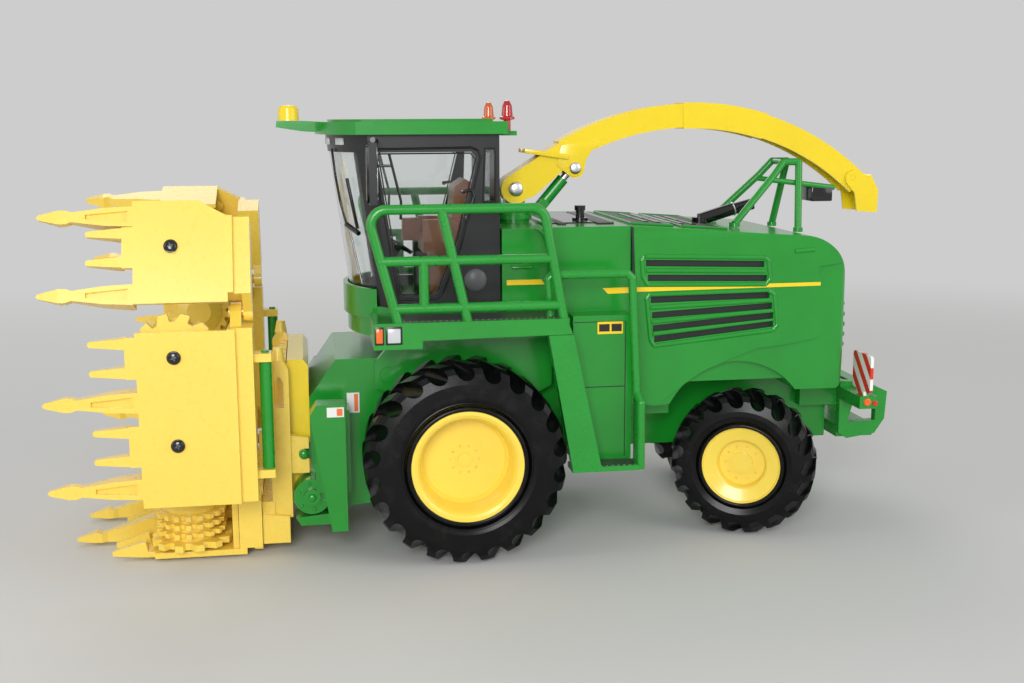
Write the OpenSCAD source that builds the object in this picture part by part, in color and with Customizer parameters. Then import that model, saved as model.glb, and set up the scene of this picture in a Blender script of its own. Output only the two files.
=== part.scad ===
// Toy forage harvester, 1:32 scale, folded for the road
// Millimetres. +X points forward, +Y to the machine's left, +Z up, ground at Z = 0.

/* [Wheels and steering] */
// Distance from the front axle to the rear axle
wheelbase = 97; // [94:0.5:100]
// Radius of a front tyre over its lugs
front_tyre_r = 30.8; // [29:0.1:31.5]
// Width of a front tyre
front_tyre_w = 24; // [22:0.5:26]
// Radius of a front rim
front_rim_r = 18; // [16:0.1:20]
// Distance from the middle of the machine to a front tyre's outer face
front_face_y = 53.8; // [53:0.1:56]
// Depth of a front rim's dish
front_dish = 9.9; // [8:0.1:11]
// Lugs on each side of a front tyre
front_lugs = 22; // [18:1:24]
// Radius of a rear tyre over its lugs
rear_tyre_r = 23.3; // [22:0.1:24]
// Width of a rear tyre
rear_tyre_w = 17; // [15:0.5:17.5]
// Radius of a rear rim
rear_rim_r = 13.2; // [12:0.1:14]
// Depth of a rear rim's dish
rear_dish = 4.6; // [3.5:0.1:6]
// Lugs on each side of a rear tyre
rear_lugs = 19; // [16:1:22]
// Height of a lug
lug_h = 2.5; // [2:0.1:3]
// Slant of the lugs
lug_slant = 26; // [20:1:30]
// Distance from the middle to a kingpin
king_y = 24; // [22:0.5:26]
// Distance from a kingpin to the rear tyre's outer face
rear_offset = 17.9; // [17.6:0.1:19]
// Steering angle in which the rear wheels stand, towards the right
steer_deg = 24.7; // [0:0.1:28]
// Radius of a stub spindle
spindle_r = 2.6; // [2.2:0.1:3]
// Radial gap of a running bore
run_gap = 0.05; // [0.03:0.01:0.08]

/* [Chassis] */
// Width of the chassis between the rear wheels
chassis_w = 25; // [22:0.5:26]
// Lowest face of the chassis
chassis_z = 25; // [22:0.5:27]
// Top face of the chassis
chassis_top = 46; // [44:0.5:46.5]
// Distance from the front axle to the feeder's hinge
hinge_x = 22; // [20:0.5:24]
// Height of the feeder's hinge
hinge_z = 55; // [53:0.5:57]

/* [Body] */
// Width of the engine hood
hood_w = 70; // [66:0.5:72]
// Height of the hood's top at its front
hood_top = 100.5; // [98:0.5:103]
// Front of the engine hood behind the front axle
hood_front = 54.6; // [53:0.1:57]
// Rear of the engine hood behind the front axle
hood_rear = 126; // [124:0.5:128]
// Height of the hood's lower edge
hood_low = 46.5; // [46:0.5:48]
// Radius of the wheel arch
arch_r = 25; // [23:0.5:26]
// Depth of a louvre slot
louvre_d = 1.4; // [0.8:0.1:2]

/* [Cab] */
// Width of the cab
cab_w = 56; // [52:0.5:58]
// Rear wall behind the front axle
cab_rear = 13.8; // [13:0.1:14.6]
// Floor height of the cab
cab_floor = 76; // [75.6:0.1:77]
// Underside of the roof
cab_roof_z = 129; // [127:0.5:131]
// Thickness of the roof
roof_t = 3.8; // [3:0.1:4.5]
// Thickness of the cab's walls
cab_wall = 1.6; // [1.2:0.1:2]
// Radius of the bowed windscreen
screen_r = 39; // [38:0.5:42]
// Forward lean of the windscreen
screen_tilt = 7.1; // [5:0.1:9]

/* [Platforms] */
// Distance from the middle to a platform's outer face
platform_y = 51; // [50:0.1:52]
// Floor height of the platforms
platform_z = 74.6; // [74:0.1:75]
// Radius of a railing tube
rail_r = 1.45; // [1.2:0.05:1.7]
// Height of the top rail
rail_top = 107.7; // [104:0.1:110]

/* [Spout] */
// Spout pivot behind the front axle
spout_x = 22.6; // [22:0.1:23.4]
// Height of the spout's pivot
spout_z = 110.8; // [110:0.1:112]
// Outer radius of the arc
spout_r = 90.3; // [88:0.1:91]
// Depth of the channel
spout_depth = 7.8; // [6:0.1:9]
// Width of the channel
spout_w = 10; // [9:0.1:12]
// Wall of the channel
spout_wall = 1.2; // [0.9:0.1:1.6]

/* [Header] */
// Front edge of the beds ahead of the front axle
bed_front = 94.6; // [93:0.1:96]
// Rear edge of the beds
bed_rear = 68.4; // [67:0.1:69]
// Drum axes ahead of the front axle
drum_x = 84; // [83:0.1:85]
// Height of the bed's underside above the ground
bed_z = 1; // [0.8:0.1:1.6]
// Thickness of a bed's plate
bed_t = 1.8; // [1.4:0.1:2.2]
// Distance between drums
drum_pitch = 25.8; // [25.6:0.1:26.2]
// Radius of a drum over its teeth
drum_r = 12.3; // [11.8:0.1:12.4]
// Teeth of a drum's lowest disc
drum_teeth = 12; // [10:1:14]
// Radius of a drum's post
post_r = 2.4; // [2:0.1:3]
// Half width of the centre bed
centre_half = 33.8; // [33.4:0.1:34]
// Distance from the middle to a wing's hinge
wing_hinge_y = 32.6; // [32.4:0.1:32.8]
// Height of a wing's hinge
wing_hinge_z = 21.2; // [20.8:0.1:21.6]
// Width of a wing's bed
wing_w = 54.6; // [54:0.1:55]
// Width of an outer bed
outer_w = 30.1; // [29:0.1:31]
// Height of the outer hinge above the bed's underside
outer_hinge_h = 12.6; // [12:0.1:13.2]
// Angle by which the wings are folded up
wing_fold = 90; // [0:1:90]
// Further angle of the outer beds
outer_fold = 20; // [0:1:20]
// Reach of a long divider ahead of the bed
divider_len = 26.4; // [24:0.1:27]
// Reach of a fork's prong ahead of the bed
prong_len = 13; // [11:0.1:14]

/* [Hidden] */
green = [0.05, 0.42, 0.12];
pale = [0.98, 0.84, 0.30];
yellow = [0.98, 0.80, 0.05];
black = [0.05, 0.05, 0.06];
seat_gap = 0.05;
front_axle_z = front_tyre_r;
rear_axle_z = rear_tyre_r;
rear_axle_x = -wheelbase;
wing_y = centre_half + 0.5;
outer_hinge_y = wing_y + wing_w + 0.3;
outer_hinge_z = bed_z + outer_hinge_h;
outer_y = outer_hinge_y + 0.5;
wing_drum_y = wing_y + 18.3;
outer_drum_y = outer_hinge_y + 16.9;
disc_gap = 0.5;
trough_x = 62;
wall_t = 1.6;
post_h = 12;
hinge_bar_r = 1.6;
ear_r = 2.8;
ear_w = 2.6;
ear_gap_x = 0.6;
wall_h_centre = 17;
wall_h_wing = 11.6;
plate_top = bed_z + bed_t;
hitch_end = 148;
front_axle_x = (hitch_end - bed_front - divider_len) / 2;

// Moves a piece drawn from the front axle to its place
module on_vehicle() translate([front_axle_x, 0, 0]) children();

module mirror_y() mirror([0, 1, 0]) children();

module box(lo, hi) translate(lo) cube(hi - lo);

// Profile in X and Z, extruded from y0 to y1
module side_plate(y0, y1) translate([0, y1, 0]) rotate([90, 0, 0]) linear_extrude(y1 - y0) children();

// Profile in Y and Z, extruded from x0 to x1
module cross_plate(x0, x1) translate([x0, 0, 0]) rotate([90, 0, 90]) linear_extrude(x1 - x0) children();

// Round bar between two points
module rod(a, b, r) {
    d = b - a;
    len = norm(d);
    translate(a) rotate([0, acos(d[2] / len), atan2(d[1], d[0])]) cylinder(r = r, h = len, $fn = 32);
}

// Bent tube through a list of points
module tube(points, r) {
    for (i = [0 : len(points) - 2]) rod(points[i], points[i + 1], r);
    for (i = [1 : len(points) - 2]) translate(points[i]) sphere(r = r * 1.03, $fn = 32);
}

// Pin along Y
module pin_y(x, z, y0, y1, r) translate([x, y0, z]) rotate([-90, 0, 0])
    cylinder(r = r, h = y1 - y0, $fn = 48);

// Running gear

// Tyre with slanting pockets cut from both sides, which leave the lugs standing
module tyre(r, w, bore, lugs) {
    half = w / 2;
    foot = r - 1.8 * lug_h;
    pocket_r = 0.28 * 2 * PI * r / lugs;
    rise = atan((r - lug_h - foot) / half);
    difference() {
        rotate_extrude($fn = 96) polygon([
            [bore, -w * 0.36], [bore + 1.2, -half + 0.6], [bore + 3, -half], [foot - 1, -half + 0.1],
            [r - 2.4, -half + 0.8], [r - 0.8, -half + 2], [r, -half + 4], [r, half - 4], [r - 0.8, half - 2],
            [r - 2.4, half - 0.8], [foot - 1, half - 0.1], [bore + 3, half], [bore + 1.2, half - 0.6],
            [bore, w * 0.36]]);
        for (side = [0, 1], i = [0 : lugs - 1])
            rotate([0, 0, (i + side / 2) * 360 / lugs]) mirror([0, 0, side])
                translate([foot + pocket_r, 0, -half]) rotate([-lug_slant, rise, 0])
                    translate([0, 0, -3]) linear_extrude(half / cos(lug_slant) + 3.4) union() {
                        circle(r = pocket_r, $fn = 32);
                        translate([0, -pocket_r]) square([r, 2 * pocket_r]);
                    }
    }
}

// Outer faces of the rims from the middle outwards: share of the radius, share of the dish's depth
front_rim_face = [[0, 1], [0.69, 1], [0.75, 0.88], [0.79, 0.3], [0.805, 0.15], [0.84, 0.05], [0.89, 0],
    [0.94, 0],
    [0.983, 0.05], [1, 0.16]];
rear_rim_face = [[0, 1], [0.55, 1], [0.585, 0.5], [0.62, 0.4], [0.9, 0.16], [0.93, 0.04], [0.96, 0],
    [0.985, 0.06], [1, 0.3]];

front_hub = 5;
rear_hub = 4;
rim_disc_t = 1.6;
rim_inset = 0.3;
rim_bolts = 10;

// Rim with its outer face at z = 0 and the dish below it
module rim(r, w, dish, face, bolts, bolt_ring, cap_r, hub_len) {
    lip = 1.2;
    back = -dish - rim_disc_t;
    difference() {
        union() {
            rotate_extrude($fn = 96) polygon(concat([for (f = face) [r * f[0], -dish * f[1]]],
                [[r, -w * 0.86], [r - lip, -w], [r - 2 * lip, -w + 0.4], [r - 2 * lip, back - 3],
                    [r * face[1][0] * 0.9, back], [0, back]]));
            translate([0, 0, back - hub_len]) cylinder(r = spindle_r + 2, h = hub_len + 0.2, $fn = 48);
            translate([0, 0, -dish - 0.1]) cylinder(r = cap_r, h = 1, $fn = 48);
        }
        translate([0, 0, back - hub_len - 1]) cylinder(r = spindle_r + run_gap, h = hub_len + 1, $fn = 48);
        for (i = [0 : bolts - 1]) rotate([0, 0, i * 360 / bolts])
            translate([bolt_ring, 0, -dish - 0.6]) cylinder(r = 0.4, h = 2, $fn = 16);
    }
}

module at_front_wheel(side) translate([0, side * front_face_y, front_axle_z])
    rotate([-90 * side, 0, 0]) children();

module at_knuckle(side) translate([rear_axle_x, side * king_y, rear_axle_z]) rotate([0, 0, -steer_deg])
    children();

module at_rear_wheel(side) at_knuckle(side) translate([0, side * rear_offset, 0])
    rotate([-90 * side, 0, 0]) children();

module front_tyre(side) color(black) on_vehicle() at_front_wheel(side)
    translate([0, 0, -front_tyre_w / 2]) tyre(front_tyre_r, front_tyre_w, front_rim_r + seat_gap, front_lugs);

module rear_tyre(side) color(black) on_vehicle() at_rear_wheel(side)
    translate([0, 0, -rear_tyre_w / 2]) tyre(rear_tyre_r, rear_tyre_w, rear_rim_r + seat_gap, rear_lugs);

module front_rim(side) color(yellow) on_vehicle() at_front_wheel(side)
    translate([0, 0, -rim_inset])
        rim(front_rim_r, front_tyre_w - 2 * rim_inset, front_dish, front_rim_face, rim_bolts, 4.3, 2,
            front_hub);

module rear_rim(side) color(yellow) on_vehicle() at_rear_wheel(side)
    translate([0, 0, -rim_inset])
        rim(rear_rim_r, rear_tyre_w - 2 * rim_inset, rear_dish, rear_rim_face, rim_bolts, 5.4, 3.4, rear_hub);

end_gap = 0.3;
front_spindle_end = front_face_y - rim_inset - front_dish - rim_disc_t - end_gap;
rear_spindle_end = rear_offset - rim_inset - rear_dish - rim_disc_t - end_gap;
axle_boss_y = front_face_y - rim_inset - front_dish - rim_disc_t - front_hub - end_gap;
boss_r = 8;
boss_len = 8;
axle_tube_r = 5.4;
axle_block = 6;
axle_block_y = 16;

module front_axle() color(green) on_vehicle() {
    pin_y(0, front_axle_z, -front_spindle_end, front_spindle_end, spindle_r);
    for (side = [-1, 1]) {
        translate([0, side * (axle_boss_y - boss_len), front_axle_z]) rotate([-90 * side, 0, 0])
            cylinder(r = boss_r, h = boss_len, $fn = 64);
        translate([0, side * (axle_block_y - 2), front_axle_z]) rotate([-90 * side, 0, 0])
            cylinder(r = axle_tube_r, h = axle_boss_y - axle_block_y - 4, $fn = 64);
    }
    box([-axle_block, -axle_block_y, front_axle_z - axle_block],
        [axle_block, axle_block_y, front_axle_z + axle_block]);
}

king_r = 1.8;
king_barrel_r = 3.9;
beam_half = 3.4;
ear_t = 2.6;
ear_gap = 0.3;
arm_len = 7;
beam_x = 3.4;
carrier_x = 6;
carrier_y = 9;
carrier_top = chassis_z + 3;

module rear_axle() color(green) on_vehicle() translate([rear_axle_x, 0, rear_axle_z]) difference() {
    union() {
        box([-beam_x, -king_y + 3, -3], [beam_x, king_y - 3, beam_half]);
        box([-carrier_x, -carrier_y, -0.6], [beam_x, carrier_y, carrier_top - rear_axle_z]);
        for (side = [-1, 1]) translate([0, side * king_y, -beam_half])
            cylinder(r = king_barrel_r, h = 2 * beam_half, $fn = 48);
    }
    for (side = [-1, 1]) translate([0, side * king_y, -beam_half - 1])
        cylinder(r = king_r + run_gap, h = 2 * beam_half + 2, $fn = 48);
}

knuckle_end = beam_half + ear_gap + ear_t;
knuckle_ear_r = 4;
arm_half = 1.8;
tie_pin_r = 1;
tie_eye_r = 2;

module knuckle(side) color(black) on_vehicle() at_knuckle(side) {
    reach = 5.2;
    translate([0, 0, -knuckle_end]) cylinder(r = king_r, h = 2 * knuckle_end, $fn = 48);
    for (z = [-knuckle_end, beam_half + ear_gap]) {
        translate([0, 0, z]) cylinder(r = knuckle_ear_r, h = ear_t, $fn = 48);
        box([-knuckle_ear_r, min(0, side * reach), z], [knuckle_ear_r, max(0, side * reach), z + ear_t]);
    }
    box([-knuckle_ear_r, side > 0 ? reach - 0.6 : -reach - 1, -knuckle_end],
        [knuckle_ear_r, side > 0 ? reach + 1 : -reach + 0.6, knuckle_end]);
    translate([0, side * reach, 0]) rotate([-90 * side, 0, 0])
        cylinder(r = spindle_r, h = rear_spindle_end - reach, $fn = 48);
    box([0, -arm_half, -knuckle_end], [arm_len, arm_half, -knuckle_end + ear_t]);
    translate([arm_len, 0, -knuckle_end]) cylinder(r = arm_half, h = ear_t, $fn = 32);
    translate([arm_len, 0, -beam_half - ear_gap - 0.5]) cylinder(r = tie_pin_r, h = 3.2, $fn = 32);
}

// Rod in one piece with an eye at each end, held by the pins of both knuckles
module tie_rod() color(black) on_vehicle() for (side = [-1, 1]) {
    z = rear_axle_z - beam_half - ear_gap + 0.2;
    ax = rear_axle_x + arm_len * cos(steer_deg);
    ay = -arm_len * sin(steer_deg);
    difference() {
        union() {
            translate([ax, side * king_y + ay, z]) cylinder(r = tie_eye_r, h = 2, $fn = 48);
            if (side > 0) box([ax - 1.2, ay - king_y + 1.6, z], [ax + 1.2, ay + king_y - 1.6, z + 2]);
        }
        translate([ax, side * king_y + ay, z - 1]) cylinder(r = tie_pin_r + run_gap, h = 4, $fn = 48);
    }
}

// Chassis, axle carriers and feeder cheeks

cheek_y = 26.6;
cheek_t = 2.4;
hinge_pin_r = 2.4;
slot_gap = 0.1;
saddle_y = 24;
saddle_z = 66;
saddle_rear = 70;

module chassis() color(green) on_vehicle() {
    half = chassis_w / 2;
    difference() {
        union() {
            box([-129, -half, chassis_z], [12, half, chassis_top]);
            box([-56, -saddle_y, chassis_z + 6], [14, saddle_y, saddle_z]);
            box([-saddle_rear, -saddle_y, 38], [-55, saddle_y, saddle_z]);
            box([-131, -17, 37], [-118, 17, chassis_top]);
            for (side = [-1, 1])
                side_plate(side > 0 ? cheek_y : -cheek_y - cheek_t, side > 0 ? cheek_y + cheek_t : -cheek_y)
                    polygon([[-30, 50], [-30, saddle_z], [20, saddle_z], [hinge_x + 4, hinge_z + 4],
                        [hinge_x + 4, hinge_z - 4], [14, 46], [-22, 46]]);
            box([-28, -cheek_y - 0.5, 52], [14, cheek_y + 0.5, 65.8]);
        }
        translate([0, 30, front_axle_z]) rotate([90, 0, 0])
            cylinder(r = axle_tube_r + seat_gap, h = 60, $fn = 64);
        box([-axle_block - slot_gap, -axle_block_y - slot_gap, front_axle_z - axle_block - slot_gap],
            [axle_block + slot_gap, axle_block_y + slot_gap, front_axle_z + axle_block + slot_gap]);
        box([rear_axle_x - carrier_x - slot_gap, -carrier_y - slot_gap, chassis_z - 1],
            [rear_axle_x + carrier_x + slot_gap, carrier_y + slot_gap, carrier_top + slot_gap]);
        box([rear_axle_x - beam_x - slot_gap, -half - slot_gap, chassis_z - 1],
            [rear_axle_x + beam_x + slot_gap, half + slot_gap, rear_axle_z + beam_half + slot_gap]);
        for (side = [-1, 1])
            pin_y(hinge_x, hinge_z, side > 0 ? cheek_y - 1 : -cheek_y - cheek_t - 1,
                side > 0 ? cheek_y + cheek_t + 1 : -cheek_y + 1, hinge_pin_r + run_gap);
    }
}

// Body panels

hood_end_x = -112;
hood_end_z = 96.4;

// Height of the deck, which falls from the front of the hood to its end
function deck_z(x) = hood_top + min(0,
    (x + hood_front) * (hood_top - hood_end_z) / (-hood_front - hood_end_x));

// Round upper corner at the rear of the hood
corner_x = -110.4;
corner_r = 15.6;
corner_z = 80.9;

module hood_profile() intersection() {
    polygon([[-hood_front, 44], [-hood_front, hood_top], [hood_end_x, hood_end_z],
        [-hood_rear - 1, hood_end_z - 1],
        [-hood_rear, 72], [-hood_rear - 0.4, 62], [-hood_rear + 1, 48], [-hood_rear + 2.5, hood_low],
        [-105, hood_low], [-64, 43]]);
    union() {
        translate([corner_x, 0]) square([100, 120]);
        translate([-140, 0]) square([90, corner_z]);
        translate([corner_x, corner_z]) circle(r = corner_r, $fn = 96);
    }
}

// Section of the hood across X, with round upper edges
module hood_section() {
    half = hood_w / 2;
    r = 4;
    union() {
        translate([-half + r, 30]) square([hood_w - 2 * r, hood_top - 30]);
        translate([-half, 30]) square([hood_w, hood_top - r - 30]);
        for (side = [-1, 1]) translate([side * (half - r), hood_top - r]) circle(r = r, $fn = 48);
    }
}

module louvre(x0, x1, z0, z1, h) polygon([[x0, z0], [x0, z0 + h], [x1, z1 + h], [x1, z1]]);

// Louvre slots: front end, rear end, height at the front end, height at the rear end
louvres = [[-58.8, -97.5, 87.9, 86.7], [-59.5, -98.5, 83.2, 82.2], [-60.5, -99.5, 76.2, 76.8],
    [-61, -100.5, 71.3, 73.3], [-61.3, -101, 67.1, 70.2], [-61.8, -101, 63.6, 67.5]];

// Round ribs between the slots, with the same columns
ribs = [[-58.6, -97.6, 91, 89.8], [-59, -98, 86.55, 85.45], [-60.2, -99, 78.9, 79.3],
    [-60.6, -100, 74.75, 76.1],
    [-61, -100.6, 70.2, 72.75], [-61.4, -101, 66.35, 69.85], [-61.6, -101, 62.5, 66.4]];
rib_r = 0.8;

arch_x = -89.4;
arch_z = 31.5;
arch_roof = 50;
arch_d = 3;
crease_d = 0.9;
hood_corner_r = 5;

// Plan of the hood with round rear corners
module hood_plan() {
    half = hood_w / 2;
    rear = -hood_rear - 0.4;
    union() {
        translate([rear + hood_corner_r, -half]) square([90, hood_w]);
        translate([rear, -half + hood_corner_r]) square([90, hood_w - 2 * hood_corner_r]);
        for (side = [-1, 1]) translate([rear + hood_corner_r, side * (half - hood_corner_r)])
            circle(r = hood_corner_r, $fn = 64);
    }
}

// The part of a side behind and below the crease
module lower_side() polygon([[-124, 87.5], [-115.6, 86.5], [-118.5, 73.4], [-118.7, 67.8],
    [-115.9, 63.3], [-105, 61.5],
    [-96.3, 60.7], [-86.9, 57.5], [-76.3, 52.9], [-69.2, 47.9], [-61.4, 42.2], [-61.4, 36], [-140, 36],
    [-140, 87.5]]);

// Both outer skins of the hood, from the depth d outwards
module on_sides(d) for (side = [-1, 1]) side_plate(side > 0 ? hood_w / 2 - d : -hood_w / 2 - 1,
    side > 0 ? hood_w / 2 + 1 : -hood_w / 2 + d) children();

module engine_hood() color(green) on_vehicle() difference() {
    union() {
        intersection() {
            side_plate(-hood_w, hood_w) hood_profile();
            cross_plate(-140, 0) hood_section();
            translate([0, 0, 30]) linear_extrude(90) hood_plan();
        }
        for (side = [-1, 1], l = ribs)
            rod([l[0], side * (hood_w / 2 - 0.3), l[2]], [l[1], side * (hood_w / 2 - 0.3), l[3]], rib_r);
    }
    intersection() {
        side_plate(-hood_w, hood_w) translate([arch_x, arch_z]) circle(r = arch_r, $fn = 96);
        box([-130, -hood_w, 20], [-50, hood_w, arch_roof]);
    }
    on_sides(arch_d) translate([arch_x, arch_z]) circle(r = arch_r, $fn = 96);
    on_sides(crease_d) lower_side();
    box([-133, -chassis_w / 2 - slot_gap, 40], [-50, chassis_w / 2 + slot_gap, chassis_top + slot_gap]);
    box([-72, -saddle_y - slot_gap, 40], [-50, saddle_y + slot_gap, saddle_z + slot_gap]);
    box([-132, -17 - slot_gap, 36], [-118 + slot_gap, 17 + slot_gap, chassis_top + slot_gap]);
    for (l = louvres) on_sides(louvre_d) louvre(l[0], l[1], l[2], l[3], 2);
    side_plate(-20, 20) deck_strip(-90, -hood_front - 4, -1.4, 1);
}

box_y = 43;
mid_front = 14.2;
turret_r = 5.2;

module mid_body() color(green) on_vehicle() {
    half = hood_w / 2 - 1;
    difference() {
        union() {
            box([-hood_front + 0.5, -half, 66], [-29.4, half, hood_top]);
            box([-29.8, -29.5, 66], [-mid_front, 29.5, hood_top - 0.6]);
            for (side = [-1, 1]) {
                side_plate(side > 0 ? 29 : -half, side > 0 ? half : -29)
                    polygon([[-hood_front + 0.5, 66], [-14.5, 66], [-14.5, 76.2], [-28.4, 77], [-29.2, 78.4],
                        [-29.2, 91.9], [-27.3, 97.6], [-24.6, hood_top - 0.6], [-30, hood_top - 0.6]]);
                box([-52.5, side > 0 ? 24.5 : -box_y, 28.5], [-34, side > 0 ? box_y : -24.5, 74]);
            }
        }
        box([-52, -20, hood_top - 1.4], [-32, 20, hood_top + 1]);
        translate([-spout_x, 0, 90]) cylinder(r = turret_r + run_gap, h = 20, $fn = 64);
        for (side = [-1, 1]) box([-24, side > 0 ? 29 : -30, 88.2], [-17, side > 0 ? 30 : -29, 90.2]);
    }
}

// Band along the deck between two places, from lo to hi above it
module deck_strip(x0, x1, lo, hi)
    polygon([[x0, deck_z(x0) + lo], [x0, deck_z(x0) + hi], [x1, deck_z(x1) + hi],
    [x1, deck_z(x1) + lo]]);

exhaust_y = 4;

module deck_insert() color(black) on_vehicle() {
    side_plate(-19.9, 19.9) deck_strip(-89.9, -hood_front - 4.1, -1.3, 0.3);
    side_plate(-19.9, 19.9) deck_strip(-51.9, -32.1, -1.3, 0.3);
    for (x = [-80 : 4 : -64]) side_plate(-18, 18) deck_strip(x, x + 1.6, 0, 0.7);
    translate([-43, 10, hood_top]) {
        cylinder(r = 2.6, h = 1, $fn = 48);
        cylinder(r = 1.4, h = 4.4, $fn = 48);
        translate([0, 0, 3.4]) cylinder(r = 1.8, h = 1.6, $fn = 48);
    }
    translate([-85.5, exhaust_y, deck_z(-85.5) - 0.4]) cylinder(r = 2.6, h = 2.6, $fn = 48);
    rod([-85.5, exhaust_y, deck_z(-85.5) + 1.4], [-97, exhaust_y, hood_top + 2.6], 2.1);
    rod([-96.4, exhaust_y, hood_top + 2.3], [-104, exhaust_y, hood_top + 4.2], 1.9);
}

// Cab

module screen_body(r, z0, z1) translate([32.3 - screen_r, 0, 80]) rotate([0, screen_tilt, 0])
    translate([0, 0, z0 - 92]) cylinder(r = r, h = z1 - z0 + 24, $fn = 160);

module cab_solid(inset, z0, z1) intersection() {
    box([-cab_rear + inset, -cab_w / 2 + inset, z0], [60, cab_w / 2 - inset, z1]);
    screen_body(screen_r - inset, z0, z1);
}

module door_glass() polygon([[17.4, 79.6], [23.9, 123.6], [-5.2, 123.6], [-7, 121.6], [-0.2, 95],
    [5.4, 80.8], [7, 79.6]]);

module quarter_glass() polygon([[-12.2, 108.6], [-9, 108.6], [-9.6, 124.2], [-12.2, 124.2]]);

module rear_glass() translate([-17, 88]) square([34, 35]);

module cab_windows() {
    side_plate(-cab_w, cab_w) union() {
        door_glass();
        quarter_glass();
    }
    cross_plate(-30, -6) rear_glass();
    box([24, -24, 79.6], [60, 24, 123.6]);
}

module cab_frame() color(black) on_vehicle() difference() {
    cab_solid(0, cab_floor, cab_roof_z);
    cab_solid(cab_wall, cab_floor - 1, cab_roof_z - 3.4);
    cab_windows();
}

glass_t = 0.8;

module cab_glass() color([0.75, 0.85, 0.85, 0.4]) on_vehicle() intersection() {
    difference() {
        cab_solid(0.4, cab_floor, cab_roof_z - 3.4);
        cab_solid(0.4 + glass_t, cab_floor - 1, cab_roof_z);
    }
    cab_windows();
}

module roof_plan(grow) intersection() {
    translate([-16 - grow, -31 - grow]) square([70, 62 + 2 * grow]);
    translate([-4.5, 0]) circle(r = 46.5 + grow, $fn = 160);
}

module cab_roof() color(green) on_vehicle() {
    translate([0, 0, cab_roof_z]) linear_extrude(roof_t) roof_plan(0);
    translate([0, 0, cab_roof_z + roof_t - 0.2]) linear_extrude(1) roof_plan(-4);
    side_plate(-3.6, 3.6) polygon([[38, cab_roof_z + 0.4], [38, cab_roof_z + roof_t],
        [46, cab_roof_z + roof_t + 0.4],
        [54, cab_roof_z + roof_t + 0.4], [54.2, cab_roof_z + 2.2], [46, cab_roof_z + 0.9]]);
    box([-20, -23.5, cab_roof_z - 0.6], [-15.5, 23.5, cab_roof_z + 0.8]);
}

module receiver_cap() color(yellow) on_vehicle() translate([50.2, 0, cab_roof_z + roof_t + 0.5])
    rotate_extrude($fn = 64) polygon([[0, 0], [3.4, 0], [3.2, 3.8], [2.6, 4.6], [0, 5]]);

module beacons() color([0.9, 0.2, 0.05]) on_vehicle() for (side = [-1, 1])
    translate([-17.4, side * 20.6, cab_roof_z + 0.8]) rotate_extrude($fn = 48)
        polygon([[0, 0], [1.1, 0], [1.1, 3.2], [2.4, 3.6], [2.4, 4.3], [1.8, 4.6], [1.5, 7.8],
            [0.8, 9.2], [0, 9.4]]);

module cab_base() color(green) on_vehicle() {
    intersection() {
        box([-cab_rear + 0.2, -cab_w / 2 - 0.4, 66.2], [60, cab_w / 2 + 0.4, cab_floor]);
        translate([32.3 - screen_r, 0, 60]) cylinder(r = screen_r + 0.6, h = 30, $fn = 160);
    }
    difference() {
        intersection() {
            box([10, -cab_w / 2 + 4, 72], [60, cab_w / 2 - 4, 81.4]);
            translate([33.2 - screen_r, 0, 60]) cylinder(r = screen_r + 1, h = 30, $fn = 160);
        }
        translate([32.6 - screen_r, 0, 60]) cylinder(r = screen_r + 0.2, h = 30, $fn = 160);
    }
}

cushion_z = cab_floor + 15;
arm_z = cab_floor + 25.6;

module seat() color([0.42, 0.20, 0.10]) on_vehicle() {
    box([-4, -6, cab_floor], [6, 6, cushion_z + 0.5]);
    box([-6, -8, cushion_z], [8.6, 8, cushion_z + 6]);
    side_plate(-8, 8) polygon([[-7, cushion_z], [-1.4, cushion_z + 5], [-0.9, arm_z], [-2, cab_floor + 36],
        [-5.6, cab_floor + 38.4], [-8.6, cab_floor + 36.6], [-8, cushion_z + 4]]);
    for (side = [-1, 1]) box([-5, side > 0 ? 7.5 : -10.4, cushion_z], [8.6, side > 0 ? 10.4 : -7.5, arm_z]);
    box([8, -10.4, cushion_z + 2.6], [14, -6.4, arm_z - 0.6]);
}

module console() color(black) on_vehicle() {
    rod([21.6, 0, cab_floor + 1], [16.4, 0, cab_floor + 17.2], 1.6);
    translate([16.6, 0, cab_floor + 16.6]) rotate([0, -32, 0]) difference() {
        cylinder(r = 5.6, h = 1.1, $fn = 64);
        translate([0, 0, -1]) cylinder(r = 4.6, h = 4, $fn = 64);
    }
    translate([16.6, 0, cab_floor + 16.6]) rotate([0, -32, 0]) box([-5, -0.8, 0], [5, 0.8, 0.9]);
    box([-4, -17, cab_floor], [10, -12.5, cab_floor + 17]);
}

module mirror_set(side) {
    rod([24, side * (cab_w / 2 + 0.15), 127], [25.4, side * 37, 127.6], 0.8);
    box([24.4, side > 0 ? 32.5 : -39.5, 108.4], [26.8, side > 0 ? 39.5 : -32.5, 126.8]);
    rod([25.4, side * 36, 126], [25.4, side * 36, 127.8], 0.8);
}

module mirrors() color(black) on_vehicle() for (side = [-1, 1]) mirror_set(side);

// Platforms, railings and ladder

module platform() {
    box([-31.5, hood_w / 2 - 0.9, platform_z - 1.6], [24, platform_y - 1, platform_z]);
    box([-mid_front + 0.1, cab_w / 2 + 0.6, platform_z - 1.6], [24, platform_y - 2, platform_z]);
    side_plate(platform_y - 1.4, platform_y)
        polygon([[-32.3, platform_z - 4.8], [-30.6, platform_z], [14, platform_z],
        [14, platform_z - 5.4]]);
    difference() {
        intersection() {
            box([12.8, cab_w / 2 + 0.6, platform_z - 7.8], [27.2, platform_y, platform_z]);
            translate([12.8, 36, 0]) cylinder(r = 20.7, h = 100, $fn = 96);
        }
        box([12, cab_w / 2, platform_z - 9], [23.4, platform_y - 1.6, platform_z - 1.6]);
    }
}

module above_platform() difference() {
    children();
    box([-34, 0, platform_z - 4], [40, 60, platform_z]);
}

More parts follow.
